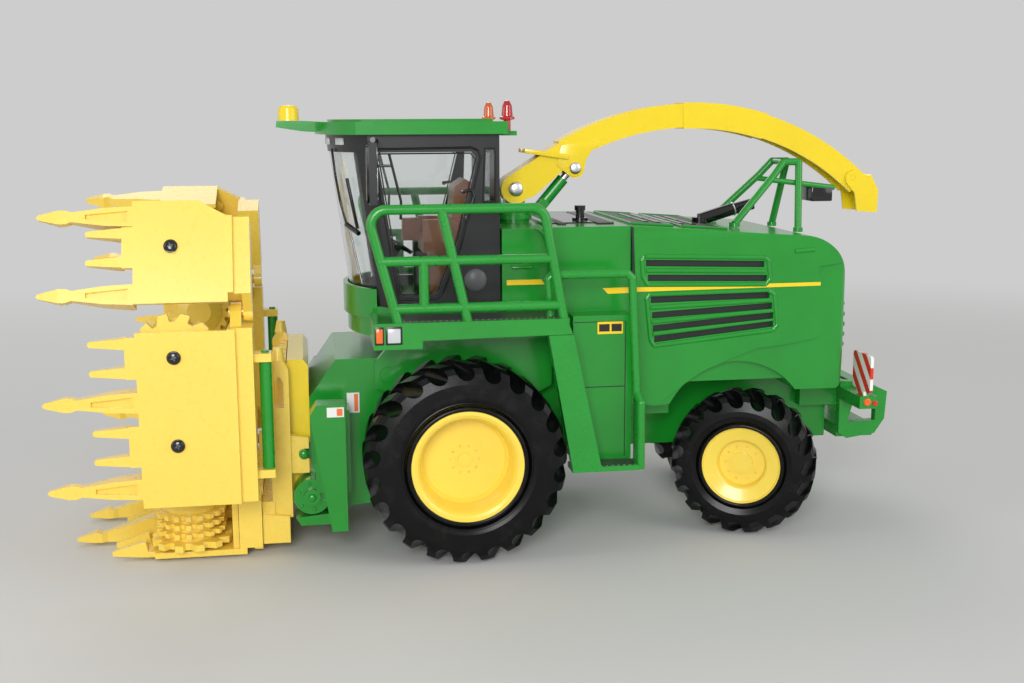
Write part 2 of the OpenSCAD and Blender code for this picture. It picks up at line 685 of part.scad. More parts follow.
// Corner of a pipe in the plane of X and Z, on the way from a over p to b
module elbow(a, p, b, bend, r) {
    u = (p - a) / norm(p - a);
    v = (b - p) / norm(b - p);
    turn = acos(u * v);
    centre = p + (v - u) / norm(v - u) * bend / cos(turn / 2);
    start = p - u * bend * tan(turn / 2) - centre;
    stop = p + v * bend * tan(turn / 2) - centre;
    left = u[0] * v[1] - u[1] * v[0] > 0;
    first = left ? start : stop;
    reach = 2 * bend;
    translate([centre[0], 0, centre[1]]) rotate([90, 0, 0]) rotate([0, 0, atan2(first[1], first[0])])
        intersection() {
        rotate_extrude($fn = 64) translate([bend, 0]) circle(r = r, $fn = 32);
        translate([0, 0, -2 * r]) linear_extrude(4 * r) polygon([[0, 0], [reach, 0],
            reach * 1.2 * [cos(turn / 2), sin(turn / 2)], reach * [cos(turn), sin(turn)]]);
    }
}

pipe_lap = 0.3;

// Pipe through points in the plane of X and Z, with a bend at each inner point
module pipe(points, bend, r) {
    n = len(points);
    for (i = [0 : n - 2]) {
        run = (points[i + 1] - points[i]) / norm(points[i + 1] - points[i]);
        into = i == 0 ? 0 : bend * tan(turn_at(points, i) / 2) - pipe_lap;
        out = i == n - 2 ? 0 : bend * tan(turn_at(points, i + 1) / 2) - pipe_lap;
        a = points[i] + run * into;
        b = points[i + 1] - run * out;
        rod([a[0], 0, a[1]], [b[0], 0, b[1]], r);
    }
    for (i = [1 : n - 2]) elbow(points[i - 1], points[i], points[i + 1], bend, r * 1.02);
}

function turn_at(points, i) = acos((points[i] - points[i - 1]) * (points[i + 1] - points[i])
    / norm(points[i] - points[i - 1]) / norm(points[i + 1] - points[i]));

rail_mid = 92.6;
rail_low = 78.6;
rail_bend = 4.5;

module railing() above_platform() translate([0, platform_y - 1.8, 0]) {
    foot = platform_z - 1;
    pipe([[19.6, foot], [28.4, rail_top], [-23.8, rail_top], [-30, foot]], rail_bend, rail_r);
    rod([25.2, 0, rail_mid], [-26.2, 0, rail_mid], rail_r);
    rod([21, 0, rail_low], [-28.8, 0, rail_low], rail_r);
    rod([6.6, 0, rail_top], [-1, 0, foot], rail_r);
    rod([12, 0, rail_mid], [12, 0, rail_low], rail_r);
}

module ladder() color(green) on_vehicle() {
    rail_y = platform_y - 4.8;
    side_plate(platform_y - 3.6, platform_y) polygon([[-25, 69.6], [-32.6, 69.6], [-41.4, 28], [-32.4, 28]]);
    box([-53.4, box_y + 0.1, 26.8], [-32.4, platform_y, 28.4]);
    box([-54.4, box_y + 0.1, 26.8], [-53.2, platform_y - 1.6, 48]);
    tube([[-53.4, rail_y, 50], [-54, platform_y - 1.6, 47.4], [-54, platform_y - 1.6, 26.8]], 1.3);
    above_platform() tube([[-26.4, rail_y, platform_z - 1], [-25.8, rail_y, 86], [-27, rail_y, 87.2],
        [-50, rail_y, 87.2], [-51.6, rail_y, 85.6], [-53.4, rail_y, 49]], 1.3);
}

// Spout

spout_start = 60;
spout_cx = -36.85 - spout_r * cos(spout_start);
spout_cz = spout_z + 15.3 - spout_r * sin(spout_start);
spout_end = 133;
spout_pin_r = 1.6;
cheek_gap = 0.3;
spout_cuff = 0.35;
flap_a = 131;
flap_x = spout_cx + (spout_r - 3.8) * cos(flap_a);
flap_z = spout_cz + (spout_r - 3.8) * sin(flap_a);
flap_gap = 0.3;
flap_t = 0.7;
flap_pin_r = 0.9;
eye_pin_r = 1.1;
eye_gap = 0.4;
ram_x = -30.6;
ram_z = hood_top + 3.1;
ram_top_x = -42.4;
ram_top_z = spout_z + 6.6;
ram_a = atan2(ram_top_x - ram_x, ram_top_z - ram_z);
ram_len = norm([ram_top_x - ram_x, ram_top_z - ram_z]);
ram_pin_r = 1;
ram_pin_half = 2.8;
ram_cheek_y = 2.7;
ram_rod_r = 1.2;

module wedge(a0, a1) polygon([[0, 0], 150 * [cos(a0), sin(a0)],
    180 * [cos((a0 + a1) / 2), sin((a0 + a1) / 2)],
    150 * [cos(a1), sin(a1)]]);

module spout_band(a0, a1, r_out, r_in) translate([spout_cx, spout_cz]) intersection() {
    difference() {
        circle(r = r_out, $fn = 180);
        circle(r = r_in, $fn = 180);
    }
    wedge(a0, a1);
}

module spout_boom() color(yellow) on_vehicle() {
    half = spout_w / 2;
    r_in = spout_r - spout_depth;
    difference() {
        union() {
            side_plate(-half, half) union() {
                spout_band(spout_start, spout_end, spout_r, r_in);
                polygon([[-spout_x + 4.6, spout_z], [-spout_x + 3.4, spout_z + 3.4], [-37.6, spout_z + 15.1],
                    [-39.4, spout_z + 6.8], [-29, spout_z - 2.2], [-spout_x - 3.4, spout_z - 3.4],
                    [-spout_x, spout_z - 4.6]]);
                translate([-spout_x, spout_z]) circle(r = 4.8, $fn = 48);
                translate([ram_top_x, ram_top_z]) circle(r = 3.2, $fn = 48);
            }
            side_plate(-half - spout_cuff, half + spout_cuff)
                spout_band(88, 107, spout_r + spout_cuff, r_in - spout_cuff);
            side_plate(-half - 1.1, half + 1.1)
                polygon([[-26, spout_z + 12.2], [-26.4, spout_z + 13], [-40, spout_z + 10.8],
                    [-39.6, spout_z + 9.8]]);
        }
        side_plate(-half + spout_wall, half - spout_wall) union() {
            spout_band(spout_start + 2, spout_end + 6, spout_r - spout_wall, 10);
            polygon([[-spout_x + 7, spout_z - 10.8], [-spout_x + 7, spout_z - 1.8],
                [-spout_x + 2.7, spout_z + 2.4],
                [-38.2, spout_z + 14], [-44, spout_z + 14], [-50, spout_z - 10.8]]);
        }
        pin_y(-spout_x, spout_z, -half - 2, half + 2, spout_pin_r + run_gap);
    }
    pin_y(flap_x, flap_z, -half - flap_gap - flap_t, half + flap_gap + flap_t, flap_pin_r);
    pin_y(ram_top_x, ram_top_z, -half - 0.5, half + 0.5, eye_pin_r);
}

// End flap, a shell around the end of the channel
module spout_flap() color(yellow) on_vehicle() {
    half = spout_w / 2 + flap_gap + flap_t;
    difference() {
        union() {
            side_plate(-half, half) translate([flap_x, flap_z])
                polygon([[-6.6, 1], [-9.4, -4.3], [-9.2, -11.9],
                [-8.2, -11.9], [-8.3, -4.3], [-5.8, 0.2]]);
            for (side = [-1, 1])
                side_plate(side > 0 ? half - flap_t : -half, side > 0 ? half : -half + flap_t)
                    translate([flap_x, flap_z]) union() {
                        polygon([[-6.2, 0.5], [-9.2, -4.3], [-8.8, -11.9], [-1.9, -11.4], [-0.9, -5.2],
                            [2.4, -1.4],
                            [0, 2.6]]);
                        circle(r = 2.3, $fn = 48);
                    }
        }
        pin_y(flap_x, flap_z, -half - 1, half + 1, flap_pin_r + run_gap);
    }
}

module spout_turret() color(green) on_vehicle() {
    translate([-spout_x, 0, hood_top - 7.4]) cylinder(r = turret_r, h = 12, $fn = 64);
    translate([-spout_x, 0, hood_top + 0.3]) cylinder(r = turret_r + 0.8, h = 1.4, $fn = 64);
    side_plate(-spout_w / 2 + spout_wall + cheek_gap, spout_w / 2 - spout_wall - cheek_gap) union() {
        translate([-spout_x, spout_z]) circle(r = 3.2, $fn = 48);
        polygon([[-spout_x + 3.2, hood_top + 4], [-spout_x + 3.2, spout_z], [-spout_x - 3.2, spout_z],
            [-spout_x - 3.2, hood_top + 4]]);
    }
    pin_y(-spout_x, spout_z, -spout_w / 2 - 0.5, spout_w / 2 + 0.5, spout_pin_r);
    side_plate(-1.4, 1.4) polygon([[-spout_x, hood_top + 1], [ram_x - 1.8, hood_top + 1.6],
        [ram_x - 1.8, hood_top + 4.6], [-spout_x, hood_top + 4.4]]);
    pin_y(ram_x, ram_z, -ram_pin_half, ram_pin_half, ram_pin_r);
}

module at_ram() translate([ram_x, 0, ram_z]) rotate([0, ram_a, 0]) children();

module spout_barrel() color(green) on_vehicle() at_ram() difference() {
    union() {
        translate([0, 0, 3.2]) cylinder(r = 2, h = ram_len - 8, $fn = 48);
        for (side = [-1, 1])
            box([-1.6, side > 0 ? ram_cheek_y - 1 : -ram_cheek_y, -1.6],
                [1.6, side > 0 ? ram_cheek_y : -ram_cheek_y + 1, 4]);
        box([-1.6, -ram_cheek_y, 3], [1.6, ram_cheek_y, 4]);
    }
    translate([0, 0, 4.6]) cylinder(r = ram_rod_r + run_gap, h = ram_len, $fn = 48);
    pin_y(0, 0, -5, 5, ram_pin_r + run_gap);
}

module spout_rod() color([0.7, 0.7, 0.7]) on_vehicle() at_ram() {
    translate([0, 0, 6]) cylinder(r = ram_rod_r, h = ram_len - 8.2, $fn = 48);
    difference() {
        translate([0, 2.8, ram_len]) rotate([90, 0, 0]) cylinder(r = 2.6, h = 5.6, $fn = 48);
        translate([0, 5, ram_len]) rotate([90, 0, 0]) cylinder(r = eye_pin_r + eye_gap, h = 10, $fn = 48);
    }
}

// Rest for the spout, with the lamp

module spout_rest() color(green) on_vehicle() {
    bar_r = 1.2;
    rest_gap = 0.9;
    foot_x = -95;
    foot_y = 12.4;
    foot_h = 1.4;
    head_y = 5.6;
    rear_foot_x = -117.2;
    rear_foot_r = 1.6;
    rear_foot_z = corner_z + sqrt(pow(corner_r, 2) - pow(rear_foot_x + rear_foot_r - corner_x, 2)) + 0.1;
    apex_x = spout_cx - 37.4;
    under_r = spout_r - spout_depth;
    rest_z = spout_cz + sqrt(pow(under_r, 2) - pow(apex_x - bar_r - spout_cx, 2)) - bar_r - rest_gap;
    for (side = [-1, 1]) {
        translate([foot_x, side * foot_y, deck_z(foot_x) + 0.15]) cylinder(r = 1.8, h = foot_h, $fn = 48);
        translate([rear_foot_x, side * foot_y, rear_foot_z]) cylinder(r = rear_foot_r, h = foot_h, $fn = 48);
        tube([[foot_x, side * foot_y, deck_z(foot_x) + 1.1], [apex_x + 9.4, side * 7, spout_z + 3.2],
            [apex_x + 5.4, side * head_y, rest_z], [apex_x, side * head_y, rest_z],
            [rear_foot_x, side * foot_y, rear_foot_z + 0.8]], bar_r);
        rod([apex_x + 10.4, side * 7.36, spout_z + 2.06], [apex_x - 13.1, side * 5, spout_z - 0.9], 0.9);
    }
    for (x = [apex_x + 5, apex_x + 0.4]) rod([x, -5.2, rest_z - 0.1], [x, 5.2, rest_z - 0.1], 0.95);
    box([apex_x - 12, -5.8, spout_z - 5.2], [apex_x - 5.2, 5.8, spout_z - 0.6]);
}

// Rear hitch and boards

module rear_hitch() color(green) on_vehicle() {
    difference() {
        union() {
            box([-137, -36, 39.4], [-131.05, 36, 43.6]);
            for (side = [-1, 1]) side_plate(side > 0 ? 17 : -20, side > 0 ? 20 : -17) difference() {
                polygon([[-131.05, 27.6], [-131.05, 45.6], [-140, 45], [-hitch_end, 41.4],
                    [0.6 - hitch_end, 32], [-144, 27], [-134, 25.6]]);
                polygon([[-134, 31], [-136, 38.4], [-144, 38], [-144, 31.6]]);
            }
            box([-144, -18, 25.8], [-131.05, 18, 30]);
            box([-147.6, -18, 38.6], [-143, 18, 41.6]);
        }
        translate([-139.6, 0, 20]) cylinder(r = 2, h = 16, $fn = 48);
    }
}

board_w = 13.6;
board_h = 12.2;
board_z = 45.3;
board_corner = 1.4;

module warning_boards() color([0.9, 0.1, 0.1]) on_vehicle() for (side = [-1, 1])
    translate([0, side * 33.2, board_z]) cross_plate(-133.5, -132.5) union() {
        translate([-board_w / 2 + board_corner, 0]) square([board_w - 2 * board_corner, board_h]);
        translate([-board_w / 2, board_corner]) square([board_w, board_h - 2 * board_corner]);
        for (y = [-1, 1], z = [board_corner, board_h - board_corner])
            translate([y * (board_w / 2 - board_corner), z]) circle(r = board_corner, $fn = 32);
        translate([-3.2, 43.65 - board_z]) square([5.4, 2.2]);
    }

// Feeder and header

face_half = 24.6;
hook_y = 26;
knob_x = 48.6;
knob_z = 31;
knob_r = 1.5;
throat_half = 15;
throat_z0 = 19;
throat_z1 = 41;
gearbox_x = 46.4;
gearbox_z = 18.6;

module feeder_house() color(green) on_vehicle() {
    half = cheek_y - 0.4;
    union() {
        side_plate(-half, half) union() {
            polygon([[hinge_x - 0.4, 14], [hinge_x - 0.4, hinge_z], [hinge_x, 60], [38, 60], [46.4, 48],
                [46.4, 16],
                [40, 12]]);
            translate([hinge_x, hinge_z]) circle(r = 5, $fn = 64);
        }
        for (side = [-1, 1]) {
            side_plate(side > 0 ? 34 : -42, side > 0 ? 42 : -34)
                polygon([[35.8, 9.3], [35.8, 49], [44.4, 49], [46.4, 45.8], [45.8, 41], [40.6, 9.3]]);
            box([34.4, side > 0 ? half - 1 : -36, 20], [45, side > 0 ? 36 : -half + 1, 46]);
            pin_y(hinge_x, hinge_z, side > 0 ? half - 1 : -cheek_y - cheek_t,
                side > 0 ? cheek_y + cheek_t : -half + 1, hinge_pin_r);
            side_plate(side > 0 ? face_half + 0.1 : -hook_y + 0.1, side > 0 ? hook_y - 0.1 : -face_half - 0.1)
                polygon([[44, 28.2], [48.6, 28.8], [50.4, 31], [48.6, 33.2], [44, 34]]);
            pin_y(knob_x, knob_z, side > 0 ? face_half + 0.2 : -hook_y - 4.2,
                side > 0 ? hook_y + 4.2 : -face_half - 0.2, knob_r);
        }
        side_plate(half - 1, 34.5) union() {
            translate([gearbox_x, gearbox_z]) circle(r = 5.6, $fn = 64);
            polygon([[40, 9.4], [50, 9.4], [51.6, 12], [40, 13]]);
        }
        side_plate(34, 36) translate([gearbox_x, gearbox_z]) circle(r = 2.6, $fn = 48);
    }
}

module feeder_face() color(yellow) on_vehicle() difference() {
    side_plate(-face_half, face_half) polygon([[46.5, 14], [46.5, 58], [48, 60], [53, 60], [53.4, 14]]);
    box([40, -throat_half, throat_z0], [60, throat_half, throat_z1]);
}

frame_end = trough_x - 0.1;

// Frame that carries the header, hooked on the knobs of the feeder
module header_frame() color(pale) on_vehicle() {
    difference() {
        side_plate(-face_half - 0.5, face_half + 0.5)
            polygon([[53.5, 14.6], [53.5, 58], [56, 58], [56, 14.6]]);
        box([50, -throat_half, throat_z0], [60, throat_half, throat_z1]);
    }
    for (side = [-1, 1]) {
        side_plate(side > 0 ? face_half + 0.1 : -30, side > 0 ? 30 : -face_half - 0.1) difference() {
            polygon([[52.5, 11], [52.5, 58], [54, 60.6], [57, 60.6], [58.6, 58], [58.6, 11]]);
            polygon([[54.2, 46], [54.2, 54], [55.6, 56], [57, 54], [57, 46]]);
        }
        side_plate(side > 0 ? hook_y : -hook_y - 3, side > 0 ? hook_y + 3 : -hook_y) difference() {
            polygon([[47, 24.8], [47, 36], [53, 37], [53, 24.8]]);
            translate([knob_x, knob_z]) circle(r = knob_r + seat_gap, $fn = 48);
            polygon([[46, 29.4], [knob_x, knob_z - knob_r - seat_gap],
                [knob_x, knob_z + knob_r + seat_gap], [46, 32.6]]);
        }
        translate([55.6, side * 27.3, 60.5]) cylinder(r1 = 2.2, r2 = 1.4, h = 4, $fn = 32);
    }
    side_plate(-32, 32) polygon([[53.5, 3.4], [53.5, 11.8], [frame_end, 12.8], [frame_end, 3.4]]);
    box([58, -31, 8], [frame_end, 31, 16.6]);
}

// Drum discs: height of the underside, thickness, radius over teeth, depth of teeth
discs = [[0.6, 2, 1, 2.4], [4.2, 1.4, 0.86, 1.5], [7, 1.4, 0.84, 1.3], [9.8, 1.4, 0.86, 1.5]];

// Disc with n teeth that lean by a share of their pitch
module toothed(r, depth, n, lean)
    polygon([for (i = [0 : n - 1], p = [[0.06, 0], [0.22, 1], [0.62, 1], [0.78, 0]])
    let (a = (i + p[0] + lean * p[1]) * 360 / n, q = r - depth * (1 - p[1])) [q * cos(a), q * sin(a)]]);

// Drum of four toothed discs on a cone, with the bore for its post
module drum_body() difference() {
    union() {
        for (d = discs) translate([0, 0, d[0]]) linear_extrude(d[1])
            toothed(drum_r * d[2], d[3], d[2] == 1 ? drum_teeth : drum_teeth + 6, 0.12);
        cylinder(r = drum_r * 0.62, h = 12.4, $fn = 64);
        translate([0, 0, 12.3]) cylinder(r1 = drum_r * 0.62, r2 = drum_r * 0.34, h = 2.6, $fn = 64);
    }
    translate([0, 0, -1]) cylinder(r = post_r + run_gap, h = 12, $fn = 48);
}

module drum_at(y) translate([drum_x, y, plate_top + disc_gap]) drum_body();

module divider_plan(tip) polygon([[0, -3], [8, -2.6], [tip - 9.6, -1.4], [tip - 8, -2], [tip - 6, -2],
    [tip - 0.6, -0.7],
    [tip, 0], [tip - 0.6, 0.7], [tip - 6, 2], [tip - 8, 2], [tip - 9.6, 1.4], [8, 2.6], [0, 3]]);

// Pocket in the underside of a long divider
pocket_d = 1.3;
pocket_end = 13;

module divider(y) translate([bed_front, y, bed_z]) difference() {
    intersection() {
        linear_extrude(10) divider_plan(divider_len);
        side_plate(-5, 5) polygon([[-1, 0.2], [-1, 8], [2, 8], [divider_len - 8, 2.8],
            [divider_len - 6.4, 3.4],
            [divider_len + 1, 1], [divider_len + 1, 0.4], [divider_len - 6, 0]]);
    }
    translate([0, 0, -1]) linear_extrude(pocket_d + 1)
        polygon([[1.4, -1.7], [pocket_end, -0.7], [pocket_end, 0.7], [1.4, 1.7]]);
}

prong_root = drum_x + drum_r + 0.5 - bed_front;

module prong(y) translate([bed_front, y, bed_z]) intersection() {
    linear_extrude(6) polygon([[0, -1.5], [4, -1.5], [prong_len - 0.4, -0.8], [prong_len, -0.4],
        [prong_len, 0.4],
        [prong_len - 0.4, 0.8], [4, 1.5], [0, 1.5]]);
    side_plate(-5, 5) polygon([[-1, 0], [-1, bed_t], [prong_root, bed_t], [prong_root + 0.6, 4.6],
        [prong_root + 2, 4.6],
        [prong_len, 2], [prong_len + 1, 0.6], [4, 0]]);
}

// Two prongs with their root ahead of a drum
module fork(y) {
    box([bed_front - 0.2, y - 6, bed_z], [bed_front + 3, y + 6, plate_top]);
    for (s = [-1, 1]) prong(y + s * 4.2);
}

// Bed from y0 to y1 with a trough behind it from b0 to b1, and posts for its drums with the forks and long
// dividers ahead of them
module bed(y0, y1, b0, b1, wall_h, drums, dividers, chamfer) {
    end = b1 - 4.6 * chamfer;
    translate([0, 0, bed_z]) linear_extrude(bed_t) polygon([[bed_rear, y0], [bed_front, y0], [bed_front, y1],
        [bed_rear + 8 * chamfer, y1], [bed_rear, y1 - 4.6 * chamfer]]);
    box([bed_rear - wall_t, b0, bed_z], [bed_rear + 0.6, end, bed_z + wall_h]);
    box([trough_x, b0, bed_z + 2], [bed_rear, end, bed_z + wall_h]);
    for (y = drums) {
        translate([drum_x, y, bed_z + 0.5]) cylinder(r = post_r, h = post_h, $fn = 48);
        translate([drum_x, y, bed_z - 0.6]) cylinder(r = 2.2, h = 1.6, $fn = 32);
        fork(y);
    }
    for (y = dividers) divider(y);
}

module at_left_wing() translate([0, wing_hinge_y, wing_hinge_z]) rotate([wing_fold, 0, 0])
    translate([0, -wing_hinge_y, -wing_hinge_z]) children();

module at_left_outer() at_left_wing() translate([0, outer_hinge_y, outer_hinge_z]) rotate([outer_fold, 0, 0])
    translate([0, -outer_hinge_y, -outer_hinge_z]) children();

module bar_x(x0, x1, y, z, r) translate([x0, y, z]) rotate([0, 90, 0]) cylinder(r = r, h = x1 - x0, $fn = 48);

front_ear_x = drum_x - drum_r - 0.7;

module bed_centre() color(pale) on_vehicle() difference() {
    union() {
        bed(-centre_half, centre_half, -centre_half, centre_half, wall_h_centre, [-drum_pitch, 0, drum_pitch],
            [-drum_pitch / 2, drum_pitch / 2], 0);
        for (side = [-1, 1], x = [[trough_x, trough_x + ear_w], [front_ear_x - 1.8, front_ear_x]])
            cross_plate(x[0], x[1]) union() {
            translate([side * wing_hinge_y, wing_hinge_z]) circle(r = ear_r, $fn = 48);
            polygon([[side * 24, bed_z + 1], [side * (wing_hinge_y - 0.4), bed_z + 1],
                [side * (wing_hinge_y + 0.4), wing_hinge_z - 2.6],
                [side * (wing_hinge_y - 2), wing_hinge_z + 1.9],
                [side * 24, wall_h_centre]]);
        }
    }
    for (side = [-1, 1]) bar_x(trough_x - 1, front_ear_x + 1, side * wing_hinge_y, wing_hinge_z,
        hinge_bar_r + run_gap);
}

wing_gap = 3.2;
lug_y0 = 6;
lug_y1 = 41;
lug_t = 2.4;
fold_x = 58.8;
fold_z = 9;
fold_rod_r = 1.1;
knuckle_x = trough_x + ear_w + ear_gap_x;

// Left wing, drawn flat as in work
module wing() difference() {
    union() {
        bed(wing_y, wing_y + wing_w - wing_gap, wing_y, outer_hinge_y - 3.2, wall_h_wing,
            [wing_drum_y, wing_drum_y + drum_pitch],
            [wing_y + 5.6, wing_drum_y + drum_pitch / 2], 0);
        bar_x(trough_x - 0.6, front_ear_x + 0.5, wing_hinge_y, wing_hinge_z, hinge_bar_r);
        cross_plate(knuckle_x, bed_rear + 0.2) union() {
            translate([wing_hinge_y, wing_hinge_z]) circle(r = ear_r, $fn = 48);
            polygon([[wing_hinge_y - 1.6, wing_hinge_z + 2.2], [wing_hinge_y + 0.4, wing_hinge_z - 2.6],
                [wing_y + 0.8, wing_hinge_z - 3.4], [wing_y + 0.8, wall_h_wing - 1],
                [wing_y + 9, wall_h_wing - 1],
                [wing_hinge_y + 8, wing_hinge_z - 2]]);
        }
        cross_plate(knuckle_x, bed_rear) union() {
            translate([outer_hinge_y, outer_hinge_z]) circle(r = ear_r, $fn = 48);
            polygon([[outer_hinge_y - 9, wall_h_wing + 0.4], [outer_hinge_y - 5, bed_z + 4],
                [outer_hinge_y + 1.8, outer_hinge_z - 2],
                [outer_hinge_y, outer_hinge_z + ear_r]]);
        }
        for (y = [lug_y0, lug_y1]) box([fold_x - 1.9, wing_y + y, 6],
            [trough_x + 0.1, wing_y + y + lug_t, 12]);
    }
    bar_x(trough_x, bed_rear + 2, outer_hinge_y, outer_hinge_z, hinge_bar_r + run_gap);
    rod([fold_x, wing_y + lug_y0 - 1, fold_z], [fold_x, wing_y + lug_y1 + 4, fold_z], fold_rod_r + seat_gap);
}

// Left outer bed, drawn flat as in work
module outer() {
    bed(outer_y, outer_y + outer_w, outer_hinge_y + 3.2, outer_y + outer_w, wall_h_wing, [outer_drum_y],
        [outer_y + 2.8, outer_drum_y + 9.2], 1);
    box([bed_rear + 7.6, outer_y + outer_w - 1.4, bed_z], [bed_front, outer_y + outer_w, bed_z + 16]);
    bar_x(trough_x + 0.6, bed_rear + 0.6, outer_hinge_y, outer_hinge_z, hinge_bar_r);
    cross_plate(trough_x, trough_x + ear_w) union() {
        translate([outer_hinge_y, outer_hinge_z]) circle(r = ear_r, $fn = 48);
        polygon([[outer_hinge_y - 0.6, outer_hinge_z - ear_r + 0.1], [outer_y + 3, bed_z + 2.4],
            [outer_y + 8, bed_z + 2.4],
            [outer_hinge_y + 5, outer_hinge_z - 1], [outer_hinge_y + 0.6, outer_hinge_z + ear_r - 0.1]]);
    }
}

// Ram that folds a wing, seated in the lugs of its trough
module fold_ram() {
    rod([fold_x, wing_y + lug_y0 + lug_t + 0.1, fold_z], [fold_x, wing_y + lug_y1 - 0.1, fold_z], 1.8);
    rod([fold_x, wing_y + lug_y0 - 0.6, fold_z], [fold_x, wing_y + lug_y1 + lug_t + 0.6, fold_z], fold_rod_r);
}

module left_drum(y) color(pale) on_vehicle() at_left_wing() drum_at(y);

module outer_drum() color(pale) on_vehicle() at_left_outer() drum_at(outer_drum_y);

chassis();
front_axle();
rear_axle();
knuckle(1);  // knuckle_left
knuckle(-1);  // knuckle_right
tie_rod();
front_tyre(1);  // tyre_front_left
front_tyre(-1);  // tyre_front_right
rear_tyre(1);  // tyre_rear_left
rear_tyre(-1);  // tyre_rear_right
front_rim(1);  // rim_front_left
front_rim(-1);  // rim_front_right
rear_rim(1);  // rim_rear_left
rear_rim(-1);  // rim_rear_right
engine_hood();
mid_body();
deck_insert();
color(green) on_vehicle() platform();  // platform_left
color(green) on_vehicle() mirror_y() platform();  // platform_right
color(green) on_vehicle() railing();  // railing_left
color(green) on_vehicle() mirror_y() railing();  // railing_right
ladder();
cab_base();
cab_frame();
cab_glass();
cab_roof();
beacons();
receiver_cap();
seat();
console();
mirrors();
spout_turret();
spout_boom();
spout_flap();
spout_barrel();
spout_rod();
spout_rest();
rear_hitch();
warning_boards();
feeder_house();
feeder_face();
header_frame();
bed_centre();
color(pale) on_vehicle() at_left_wing() wing();  // wing_left
color(pale) on_vehicle() mirror_y() at_left_wing() wing();  // wing_right
color(pale) on_vehicle() at_left_outer() outer();  // outer_left
color(pale) on_vehicle() mirror_y() at_left_outer() outer();  // outer_right
color(green) on_vehicle() at_left_wing() fold_ram();  // fold_ram_left
color(green) on_vehicle() mirror_y() at_left_wing() fold_ram();  // fold_ram_right
color(pale) on_vehicle() drum_at(0);  // drum_centre
color(pale) on_vehicle() drum_at(drum_pitch);  // drum_centre_left
color(pale) on_vehicle() drum_at(-drum_pitch);  // drum_centre_right
left_drum(wing_drum_y);  // drum_wing_left_in
left_drum(wing_drum_y + drum_pitch);  // drum_wing_left_out
mirror_y() left_drum(wing_drum_y);  // drum_wing_right_in
mirror_y() left_drum(wing_drum_y + drum_pitch);  // drum_wing_right_out
outer_drum();  // drum_outer_left
mirror_y() outer_drum();  // drum_outer_right
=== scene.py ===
"""Dresses the toy forage harvester: finishes for every solid, small trims, lamps, studio and camera."""

import logging
import math
from dataclasses import dataclass
from enum import Enum

import bmesh
import bpy
from mathutils import Matrix, Vector


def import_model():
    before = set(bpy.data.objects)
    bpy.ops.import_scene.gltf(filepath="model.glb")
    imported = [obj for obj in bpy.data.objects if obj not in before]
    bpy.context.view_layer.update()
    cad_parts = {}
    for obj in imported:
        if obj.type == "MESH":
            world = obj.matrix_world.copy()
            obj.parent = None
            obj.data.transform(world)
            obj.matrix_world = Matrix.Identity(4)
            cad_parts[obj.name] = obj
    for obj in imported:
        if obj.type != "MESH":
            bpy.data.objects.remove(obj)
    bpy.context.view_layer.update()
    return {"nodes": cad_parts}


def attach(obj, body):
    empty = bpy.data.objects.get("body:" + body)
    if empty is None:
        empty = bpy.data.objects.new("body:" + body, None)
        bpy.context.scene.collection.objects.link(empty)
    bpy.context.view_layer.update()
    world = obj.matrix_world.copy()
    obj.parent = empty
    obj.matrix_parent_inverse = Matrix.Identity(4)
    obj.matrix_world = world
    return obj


LOG = logging.getLogger("forage_harvester")
MM = 0.001
FRONT_AXLE_X = 13.5
SIDES = {"left": 1, "right": -1}
SHARP = math.radians(35)


class Axis(Enum):
    """Direction in which a round or flat trim faces."""

    X = "X"
    Y = "Y"
    Z = "Z"


def turn_to(axis: Axis) -> Matrix:
    """Rotation that takes +Z to the axis.

    Args:
        axis: Direction wanted.
    Returns:
        The rotation.
    """
    if axis is Axis.X:
        return Matrix.Rotation(math.radians(90), 4, "Y")
    if axis is Axis.Y:
        return Matrix.Rotation(math.radians(-90), 4, "X")
    return Matrix.Identity(4)


def along_way(way: tuple | Vector) -> Matrix:
    """Rotation that takes +Z to a slanted direction.

    Args:
        way: The direction, of any length.
    Returns:
        The rotation.
    """
    return Vector(way).to_track_quat("Z", "Y").to_matrix().to_4x4()


